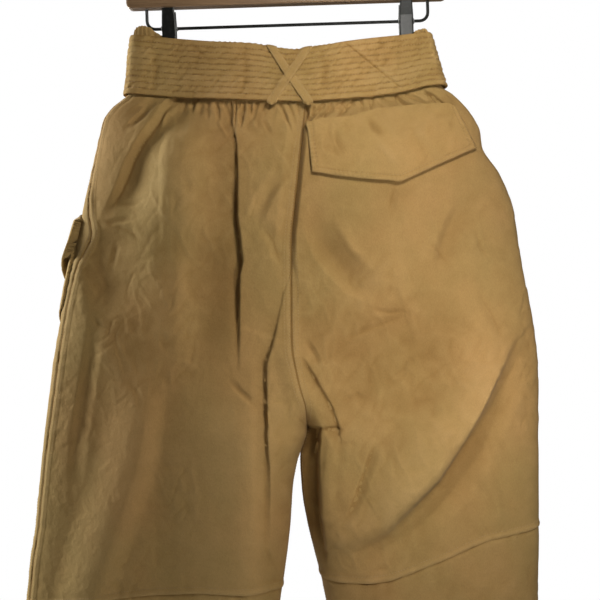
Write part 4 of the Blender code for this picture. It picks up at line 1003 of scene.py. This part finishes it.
def build_panel(cut, half, number):
    name = f"{cut.name}_{half}"
    heights = np.linspace(cut.top, cut.bottom, cut.rows)
    angles = np.array([panel_angles(half, cut.face, z, cut.columns) for z in heights])
    z = np.repeat(heights[:, None], cut.columns, axis=1)
    points, out, wear_and_shade = skin(half, angles, z, seed=number)
    from_start = lengths(points, 1)
    from_end = from_start[:, -1:] - from_start
    to_seam = np.minimum(from_start, from_end)
    wrinkles = crinkle(points[..., 0], points[..., 2], 10 * number)
    still = rising(0.35, to_seam / 14) * smoothstep((WAIST_Z - z) / 8)
    small = CRINKLE_HEIGHT * wrinkles * still + seam_relief(cut, from_start, from_end, z, points)
    outer = points + out * small[..., None]
    thick = np.where(z < HEM_Z + HEM_DEPTH + 1, HEM_WALL, WALL)[..., None]
    inner = coarse(points - thick * out, cut.inner_step)
    # Crinkle and seam relief painted lighter where raised and darker where sunk, plus the folds'
    # painted light and shade; lighter beside the felled seams as wear, darker at the seam joint.
    fade = 0.55 * small + wear_and_shade + 0.5 * near(to_seam - 3.0, 1.6) - 1.3 * near(to_seam, 1.1)
    # Painted shadow in the drawn-in strip of the right thigh beside the gap between the legs.
    if name == "back_right":
        fade -= 1.2 * tucked_in(points[..., 0], points[..., 2])
    piece = shell(name, outer, inner, cloth, fade)
    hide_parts(name)
    upper = cut.bottom > HEM_Z
    row = np.abs(heights - (KNEE_Z + KNEE_STITCH if upper else HEM_Z + HEM_STITCH)).argmin()
    sewn = [sewn_line(outer, out, ends, inset, slice(4, -4))
            for inset in FELL_STITCHES for ends in (from_start, from_end)]
    threads = stitching(f"{name}_stitching", sewn + [(outer[row], out[row])])


for number, (cut, half) in enumerate((cut, half) for cut in CUTS for half in ("left", "right")):
    build_panel(cut, half, number)


# ---------------------------------------------------------------- waistband
# A tube of the same cotton over wide elastic, which draws it into fine ribs. Its free
# top edge stands a little above the belt as a ruffle, and the two clips grip it there.

BAND_TOP = table(
    "x z",
    (-165, -139), (-160, -133.5), (-153, -132), (-146, -133.5), (-136, -140.5), (-124, -144.5),
    (-72, -150.5), (-35, -153.8), (0, -160), (12, -161.2), (39, -156.8), (68, -152), (127, -144),
    (138, -141.5), (148, -136), (156, -135), (161, -138),
)
BAND_RIBS = 120
BAND_RIB = 0.35
BAND_ROWS = 48
BAND_SAMPLES = 6

# A ring's left end, right end and clearance are each given at its top and at its bottom.
Ring = namedtuple("Ring", "left right clear gripped top bottom")


def band_top(x):
    return column(BAND_TOP, "z", x, "x")


def band_bottom(x):
    return waist_seam(x) + SEAM_GAP


BAND_RING = Ring((-163.6, -169.6), (160.0, 175.6), (0.0, 0.0), 0.24, band_top, band_bottom)


def ring_sizes(ring, down):
    """A ring's left end, right end and clearance at a share of the way down it."""
    return [top + (bottom - top) * down for top, bottom in (ring.left, ring.right, ring.clear)]


def ring_point(ring, angle, down):
    """A point round the waist: angle 0 is the left end, the back runs from 0 to pi."""
    left, right, clear = ring_sizes(ring, down)
    x = (left + right) / 2 - (right - left) / 2 * np.cos(angle)
    back = np.sin(angle) >= 0
    depth = waist_depth(x, down, left, right, np.where(back, 1.0, FRONT_SHARE), ring.gripped)
    depth = depth + clear * np.minimum(1, 4 * np.abs(np.sin(angle)))
    z = ring.top(x) + (ring.bottom(x) - ring.top(x)) * down
    return np.stack([x, depth * np.where(back, -1, 1), z], axis=-1)


def ring_row(ring, down, first, last, count, closed=False, bend_share=14):
    """One level of a ring, its points closer at the bends: angles, points, level way out."""
    dense = np.linspace(first, last, 1800)
    path = ring_point(ring, dense, down)[:, :2]
    move = np.diff(path, axis=0)
    heading = np.unwrap(np.arctan2(move[:, 1], move[:, 0]))
    bent = np.concatenate([[0, 0], np.cumsum(np.abs(np.diff(heading)))])
    measure = lengths(path) + bend_share * bent
    angles = np.interp(np.linspace(0, measure[-1], count + closed)[:count], measure, dense)
    way = ring_point(ring, angles + 0.02, down) - ring_point(ring, angles - 0.02, down)
    out = np.stack([way[:, 1], -way[:, 0], np.zeros(count)], axis=-1)
    out /= np.linalg.norm(out, axis=-1, keepdims=True)
    return angles, ring_point(ring, angles, down), out


def build_waistband():
    count = BAND_RIBS * BAND_SAMPLES
    outer, inner, wear_and_shade = [], [], []
    place = np.arange(count) / count
    for down in np.linspace(0, 1, BAND_ROWS):
        _, points, out = ring_row(BAND_RING, down, 0, 2 * math.pi, count, closed=True)
        wander = 0.3 * np.sin(14 * math.pi * place + 5 * down) + 0.2 * np.sin(46 * math.pi * place)
        uneven = 0.75 + 0.25 * np.sin(38 * math.pi * place)
        ribs = np.sin(2 * math.pi * (BAND_RIBS * place + wander)) * uneven
        rim = -0.5 * fading(down, 0, 0.03)
        points = points + out * (BAND_RIB * (ribs - 1) + rim)[:, None]
        points[:, 2] += 0.5 * ribs * fading(down, 0, 0.2)
        outer.append(points)
        # Painted light and shade: rib crests lighter, rib hollows darker; the top edge lighter.
        wear_and_shade.append(0.5 * ribs + (0.6 if down < 0.02 else 0))
    for down in (0.0, 0.12, 0.24, 0.6, 1.0):
        _, points, out = ring_row(BAND_RING, down, 0, 2 * math.pi, count // 4, closed=True)
        inner.append(points - out * (WALL + 2 * BAND_RIB))
    piece = shell("waistband", np.array(outer), np.array(inner), cloth, np.array(wear_and_shade), closed=True)
    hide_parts("waistband")


build_waistband()


# ---------------------------------------------------------------- quilted belt
# A belt of two layers with a firm interlining, quilted by nine level rows of stitching
# that pucker it. It lies round the waistband, its outer end over the under end in front.

BELT_COTTON = (0.37, 0.222, 0.07)
BELT_WALL = 2.0
BELT_PUFF, BELT_PUCKER, BELT_DENT = 0.8, 0.75, 0.6
BELT_FULL = BELT_WALL + 0.9  # from its inner face to the tops of its channels
BELT_CHANNELS = 10
BELT_COLUMNS = 701
ROWS_PER_CHANNEL = 8
BELT_HIGH = 62.0
BELT_START = -1.25
BELT_OVERLAP = 0.36
BELT_STEP = BELT_FULL + 0.6
BELT_FOLDS = table(
    FOLD,
    ([(-104, -152), (-92, -160), (-80, -172)], 4, 5, -0.7, 0.3, 0.3),
    ([(-92, -153), (-84, -158), (-74, -161)], 3, 4, -0.6, 0.3, 0.3),
    ([(-140, -165), (-138, -186), (-141, -204)], 5, 6, -0.8, 0.3, 0.3),
    ([(61, -149), (94, -175), (125, -200)], 1.5, 1.9, -1.1, 0.9, 0.9),
    ([(64, -147), (97, -173), (128, -198)], 3, 5, 0.4, 0.9, 0.9),
    ([(-40, -158), (-38, -190), (-44, -216)], 6, 6, -0.7, 0.3, 0.3),
    ([(40, -160), (46, -186), (42, -212)], 5, 6, -0.7, 0.3, 0.3),
)


def belt_top(x):
    return column(BELT_EDGES, "top", x, "x")


def belt_bottom(x):
    return column(BELT_EDGES, "bottom", x, "x")


BELT_RING = Ring((-165.4, -172.8), (161.8, 179.0), (2.0, 3.0), 0.0, belt_top, belt_bottom)


def belt_lift(angle):
    """The outer end rises off the ring to pass over the under end."""
    meet = BELT_START + 2 * math.pi
    return BELT_STEP * smoothstep((angle - meet + 0.5) / 0.3)


def belt_relief(points, along, down):
    """Puffed channels between the stitching, puckered and crumpled. along is in mm."""
    channel = down * BELT_CHANNELS
    puff = BELT_PUFF * np.abs(np.sin(math.pi * channel)) ** 0.6
    number = np.floor(channel - 1e-9)
    puckers = crumple(along + 2.5 * channel, number * 3.7 + channel * 0.4, 3.6, 1.0, 301)
    wide = crumple(along, channel, 13, 1.6, 302)
    dents = crumple(along, channel, 34, 3.5, 303)
    near_line = np.abs(np.cos(math.pi * channel))
    height = (puff * (0.85 + 0.35 * wide) + BELT_DENT * dents
              + BELT_PUCKER * puckers * (0.45 + 0.55 * near_line))
    height += (points[..., 1] < 0) * folded(BELT_FOLDS, points[..., 0], points[..., 2])[0]
    return height * smoothstep(np.minimum(down, 1 - down) * BELT_HIGH / 1.2 + 0.15)


def build_belt():
    ends = BELT_START, BELT_START + 2 * math.pi + BELT_OVERLAP
    rows = BELT_CHANNELS * ROWS_PER_CHANNEL + 1
    outer, inner, wear_and_shade, seams = [], [], [], []
    for number, down in enumerate(np.linspace(0, 1, rows)):
        angles, points, out = ring_row(BELT_RING, down, *ends, BELT_COLUMNS, bend_share=20)
        along = lengths(points)
        relief = belt_relief(points, along, down)
        ring_line = points + out * belt_lift(angles)[:, None]
        face = ring_line + out * (BELT_WALL + relief)[:, None]
        outer.append(face)
        near_line = np.abs(np.cos(math.pi * down * BELT_CHANNELS)) ** 24
        holes = 0.5 + 0.5 * np.cos(2 * math.pi * along / STITCH_PITCH)
        # Painted light and shade: puffed channels lighter, their hollows darker; darker dots along
        # each row of stitching.
        wear_and_shade.append(0.9 * (relief - 0.3) - 2.0 * near_line * holes)
        if number % ROWS_PER_CHANNEL == 0:
            inner.append(ring_line[::4])
            if 0 < number < rows - 1:
                seams.append((face + out * 0.12, out))
    piece = shell("belt", np.array(outer), np.array(inner), belt_cloth, np.array(wear_and_shade))
    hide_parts("belt")
    threads = stitching("belt_stitching", seams)


belt_cloth = cotton("belt_cloth", BELT_COTTON)
build_belt()


# ---------------------------------------------------------------- crossed belt loops
# Two flat straps, folded and edge stitched, which cross over the belt at the centre
# back. Each is sewn in above the belt and again in the waist seam below it.

BELT_LOOPS = table(
    "name top_x bottom_x lift",
    ("belt_loop_under", -11.3, 27.8, 0.0),
    ("belt_loop_over", 26.8, -10.3, 2.2),
)
LOOP_WIDTH = 9.0
LOOP_WALL = 1.4
LOOP_CLEAR = 0.6
LOOP_POINT = 3.6             # how far its folded end hangs below the belt
LOOP_ACROSS = 13
LOOP_PITCH = 2.8


def build_belt_loop(loop, seed):
    half_wall = LOOP_WALL / 2
    past_edge = SEAM_GAP + half_wall
    stations = [(0.0, past_edge, -BELT_FULL - 0.8), (0.0, past_edge, -0.6)]
    for share in np.linspace(0.02, 0.98, 45):
        crossing = loop.lift * fading(abs(share - 0.5), 0.145, 0.115)
        ripple = 0.25 * math.sin(31 * share + seed)
        stations.append((share, 0.0, LOOP_CLEAR + half_wall + crossing + ripple))
    stations += [(1.0, -past_edge, LOOP_CLEAR + half_wall), (1.0, -past_edge - LOOP_POINT, 0.6),
                 (1.0, -past_edge - 0.8 * LOOP_POINT, 1.2 - BELT_FULL)]
    slant = math.atan2(loop.bottom_x - loop.top_x, belt_top(8) - belt_bottom(8))
    across = np.linspace(-1, 1, LOOP_ACROSS)
    share, past, off = np.array(stations).T[..., None]
    centre_x = loop.top_x + (loop.bottom_x - loop.top_x) * share
    x = centre_x + across * LOOP_WIDTH / 2 / math.cos(slant)
    pointed = np.minimum(past + past_edge, 0) * 0.75 * np.abs(across - 0.15 * slant)
    z = belt_top(x) + (belt_bottom(x) - belt_top(x)) * share + past - pointed
    left, right, clear = ring_sizes(BELT_RING, share)
    depth = waist_depth(x, share, left, right) + clear + BELT_FULL
    middle = np.stack([x, -depth - off, z], axis=-1)
    out = grid_normals(middle, 1)
    out *= np.where(out[20:21, 6:7, 1:2] > 0, -1, 1)
    round_edge = half_wall * (1 - np.abs(across) ** 6 * 0.7)
    stitched = -0.3 * near(np.abs(across) - 0.66, 0.12)
    outer = middle + out * (round_edge + stitched)[None, :, None]
    inner = coarse(middle - out * half_wall * 0.9, 2)
    wear_and_shade = np.repeat((0.45 + 0.5 * np.abs(across) ** 4)[None, :], len(stations), axis=0)
    piece = shell(loop.name, outer, inner, belt_cloth, wear_and_shade, sharp=80)
    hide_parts(loop.name)
    sewn = [(outer[2:-2, k], out[2:-2, k]) for k in (2, LOOP_ACROSS - 3)]
    threads = stitching(f"{loop.name}_stitching", sewn, LOOP_PITCH)


for number, loop in enumerate(BELT_LOOPS):
    build_belt_loop(loop, number)


# ---------------------------------------------------------------- back pocket flap
# A flap of two layers, turned and edge stitched 5.5 mm in, sewn to the right back panel
# just under the waist. The stitching draws its edges into small ladder-like puckers.

# A lighter copy of the khaki cotton, as painted light for the brightly lit flap.
FLAP_COTTON_LIT = (0.415, 0.255, 0.084)
BACK_FLAP_TOP = [(26.6, -245.7), (42.5, -241.1), (68, -239.2), (82, -235.1),
                 (103.5, -228.3), (146, -223.5), (179, -221), (188, -226)]
BACK_FLAP_BOTTOM = [(31.8, -298.5), (62, -303.5), (94, -306.5), (125.4, -308.5),
                    (166, -289.5), (207, -270.2)]
BACK_FLAP_FOLDS = table(
    FOLD,
    ([(92, -240), (98, -252), (110, -262)], 7, 9, -1.6, 0.3, 0.2),
    ([(100, -268), (112, -280), (118, -292)], 6, 8, 1.2, 0.2, 0.2),
    ([(52, -252), (60, -270), (58, -290)], 9, 9, -0.9, 0.2, 0.2),
    ([(150, -236), (146, -254), (156, -274)], 9, 9, 0.9, 0.2, 0.2),
)
FLAP_WALL = 1.8
FLAP_EDGE = 0.8
FLAP_STITCH = 5.5
FLAP_PITCH = 2.9
FLAP_COLUMNS, FLAP_ROWS = 150, 76
LADDER = 4.5


def place_on(half, x, z):
    """The section angle and nominal row of the back skin's point at x and height z."""
    row = np.array(z, float)
    for _ in range(12):
        inner, outer = edges(half, row)
        start = turn_cosine(row)
        across = np.clip((x - inner) / (outer - inner), 0, 1)
        angle = np.arccos(np.clip(start - across * (1 + start), -1, 1))
        row = z - shifts(half, x, across, row)
    return angle, row


def along_line(points, count):
    """Points spread evenly along a line of X, Z points."""
    points = np.array(points, float)
    length = lengths(points)
    wanted = np.linspace(0, length[-1], count)
    return np.stack([np.interp(wanted, length, points[:, k]) for k in (0, 1)], axis=-1)


def edge_puckers(along, from_edge, seed):
    """Ladder-like puckers from a turned edge to its stitching, and the groove there."""
    rungs = np.cos(2 * math.pi * (along / LADDER + 0.3 * crumple(along, along * 0, 9, 5, seed)))
    uneven = 0.6 + 0.4 * crumple(along, along * 0, 14, 5, seed + 1)
    in_border = smoothstep(from_edge / 1.5) * fading(from_edge, FLAP_STITCH, 3.5)
    groove = 0.55 * near(from_edge - FLAP_STITCH, 1.0)
    return 0.32 * rungs * uneven * in_border - groove - 0.9 * near(from_edge, 1.0)


def turned_edges(base, seed, all_round=False):
    """How far each point is from the sides and bottom, and from the nearest edge, and the
    puckers along them. Round a patch the top edge is turned in too, not in a seam."""
    across, height_of = lengths(base, 1), lengths(base, 0)
    gaps = [across, across[:, -1:] - across, height_of[-1:] - height_of]
    from_edge = np.minimum.reduce(gaps + [height_of] if all_round else gaps)
    on_side = np.minimum(gaps[0], gaps[1]) < gaps[2]
    return gaps, from_edge, edge_puckers(np.where(on_side, height_of, across), from_edge, seed)


def turned_shell(name, base, out, lift, thick, relief, from_edge, paint, painted_light=0.0):
    """A piece of two layers that stands off the cloth under it, faded along its edges."""
    outer = base + out * (lift + thick + relief)[..., None]
    inner = coarse(base + out * lift[..., None], 4)
    # Edges lighter as wear, relief painted lighter and darker as light and shade, and the last term
    # painted light all over.
    wear_and_shade = 0.9 * near(from_edge, 1.8) + 0.5 * relief + painted_light
    return outer, shell(name, outer, inner, paint, wear_and_shade)


def build_back_flap():
    top = along_line(BACK_FLAP_TOP, FLAP_COLUMNS)
    bottom = along_line(BACK_FLAP_BOTTOM, FLAP_COLUMNS)
    down = np.linspace(0, 1, FLAP_ROWS)[:, None]
    flat = top[None] + (bottom - top)[None] * down[..., None]
    x, z = flat[..., 0], flat[..., 1]
    angle, row = place_on("right", x, z)
    base, out, _ = skin("right", angle, row, gathers=False)
    out *= np.where(out[..., 1:2] > 0, -1, 1)
    lift = FLAP_EDGE + GATHER_HEIGHT * fading(WAIST_Z - row, 6, 34) + 2.2 * down ** 1.5
    gaps, from_edge, relief = turned_edges(base, 401)
    relief += folded(BACK_FLAP_FOLDS, x, z)[0] + crinkle(x, z, 410) * smoothstep(from_edge / 12)
    # The flap's lighter cotton and the 0.15 given last are painted light.
    outer, piece = turned_shell("back_flap", base, out, lift, FLAP_WALL, relief, from_edge,
                                flap_cloth_lit, 0.15)
    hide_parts("back_flap")
    row_height = gaps[2][0, 40] / (FLAP_ROWS - 1)
    inset = max(2, int(round(FLAP_STITCH / row_height)))
    west, east = (np.abs(gap[FLAP_ROWS // 2] - FLAP_STITCH).argmin() for gap in gaps[:2])
    lines = [(outer[:-inset, k], out[:-inset, k]) for k in (west, east)]
    lines.append((outer[-1 - inset, west:east], out[-1 - inset, west:east]))
    threads = stitching("back_flap_stitching", lines, FLAP_PITCH)


# The flap's cotton is the lighter, painted-lit copy of the khaki.
flap_cloth_lit = cotton("flap_cloth_lit", FLAP_COTTON_LIT)
build_back_flap()


# ---------------------------------------------------------------- cargo pockets
# A patch pocket wraps round each side seam on to the thigh, with slanted lower corners,
# under a loose flap of two layers. Both are turned in and edge stitched like the back one.

POCKET_WALL = 1.5
PATCH_CRINKLE = 0.8
POCKET_WIDTH = 132.0
# Each row: how far forward of the side seam, and the heights of the top and bottom edge.
POCKET_EDGES = [(1.0, -357, -432), (26.0, -350, -461), (106.0, -344, -468),
                (POCKET_WIDTH, -342, -452)]
CARGO_FLAP_EDGES = [(0.6, -349, -357), (28.0, -338, -411), (78.0, -333, -425),
                    (POCKET_WIDTH + 2, -330, -398)]
PATCH_COLUMNS, PATCH_ROWS = 96, 72


def forward_angles(half, along, z):
    """Section angles at lengths forward of the side seam, at one height."""
    dense = np.linspace(side_angle(half, z), 2 * math.pi - turn_angle(z), 500)
    return np.interp(along, lengths(base_point(half, dense, z)[:, :2]), dense)


def pocket_lift(along, down):
    """Close to the panel along its edges, and fuller in the middle."""
    round_the_side = 0.85 * fading(along, 0, 0.45)
    return 0.6 + round_the_side + 1.2 * np.sin(math.pi * along) * np.sin(math.pi * down)


def cargo_flap_lift(along, down):
    """Sewn down at the top, it stands off over the pocket's mouth."""
    stand_off = 4.6 * smoothstep(down / 0.12)
    return 0.7 + stand_off + 4.6 * down * smoothstep(along / 0.12) * (1 - 0.5 * along)


def build_patch(name, half, edge_rows, thick, lift_at, seed, all_round):
    places, tops, bottoms = zip(*edge_rows)
    share = np.linspace(0, 1, PATCH_COLUMNS) ** 1.3
    alongs = share * (places[-1] - places[0]) + places[0]
    down = np.linspace(0, 1, PATCH_ROWS)[:, None]
    top, bottom = np.interp(alongs, places, tops), np.interp(alongs, places, bottoms)
    heights = top + (bottom - top) * down
    grid = np.linspace(heights.max() + 1, heights.min() - 1, 60)
    found = np.array([forward_angles(half, alongs, z) for z in grid])
    angles = np.stack([np.interp(-heights[:, k], -grid, found[:, k])
                       for k in range(PATCH_COLUMNS)], axis=1)
    base, out, _ = skin(half, angles, heights)
    outward = np.array([-0.6 if half == "left" else 0.6, 0.8, 0])
    out *= np.where((out @ outward)[..., None] < 0, -1, 1)
    lift = lift_at(share[None, :], down) * np.ones_like(heights)
    gaps, from_edge, relief = turned_edges(base, seed, all_round)
    wrinkles = crinkle(alongs[None, :] + 0 * heights, heights, seed + 10)
    relief += PATCH_CRINKLE * wrinkles * smoothstep(from_edge / 10)
    outer, piece = turned_shell(name, base, out, lift, thick, relief, from_edge, cloth)
    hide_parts(name)
    lines = [sewn_line(outer, out, gap, FLAP_STITCH, slice(3, -6)) for gap in gaps[:2]]
    lines.append(sewn_line(outer.swapaxes(0, 1), out.swapaxes(0, 1), gaps[2].T, FLAP_STITCH,
                           slice(3, -3)))
    threads = stitching(f"{name}_stitching", lines, FLAP_PITCH)


for number, half in enumerate(("left", "right")):
    build_patch(f"cargo_pocket_{half}", half, POCKET_EDGES, POCKET_WALL, pocket_lift,
                500 + 40 * number, True)
    build_patch(f"cargo_flap_{half}", half, CARGO_FLAP_EDGES, FLAP_WALL, cargo_flap_lift,
                600 + 40 * number, False)
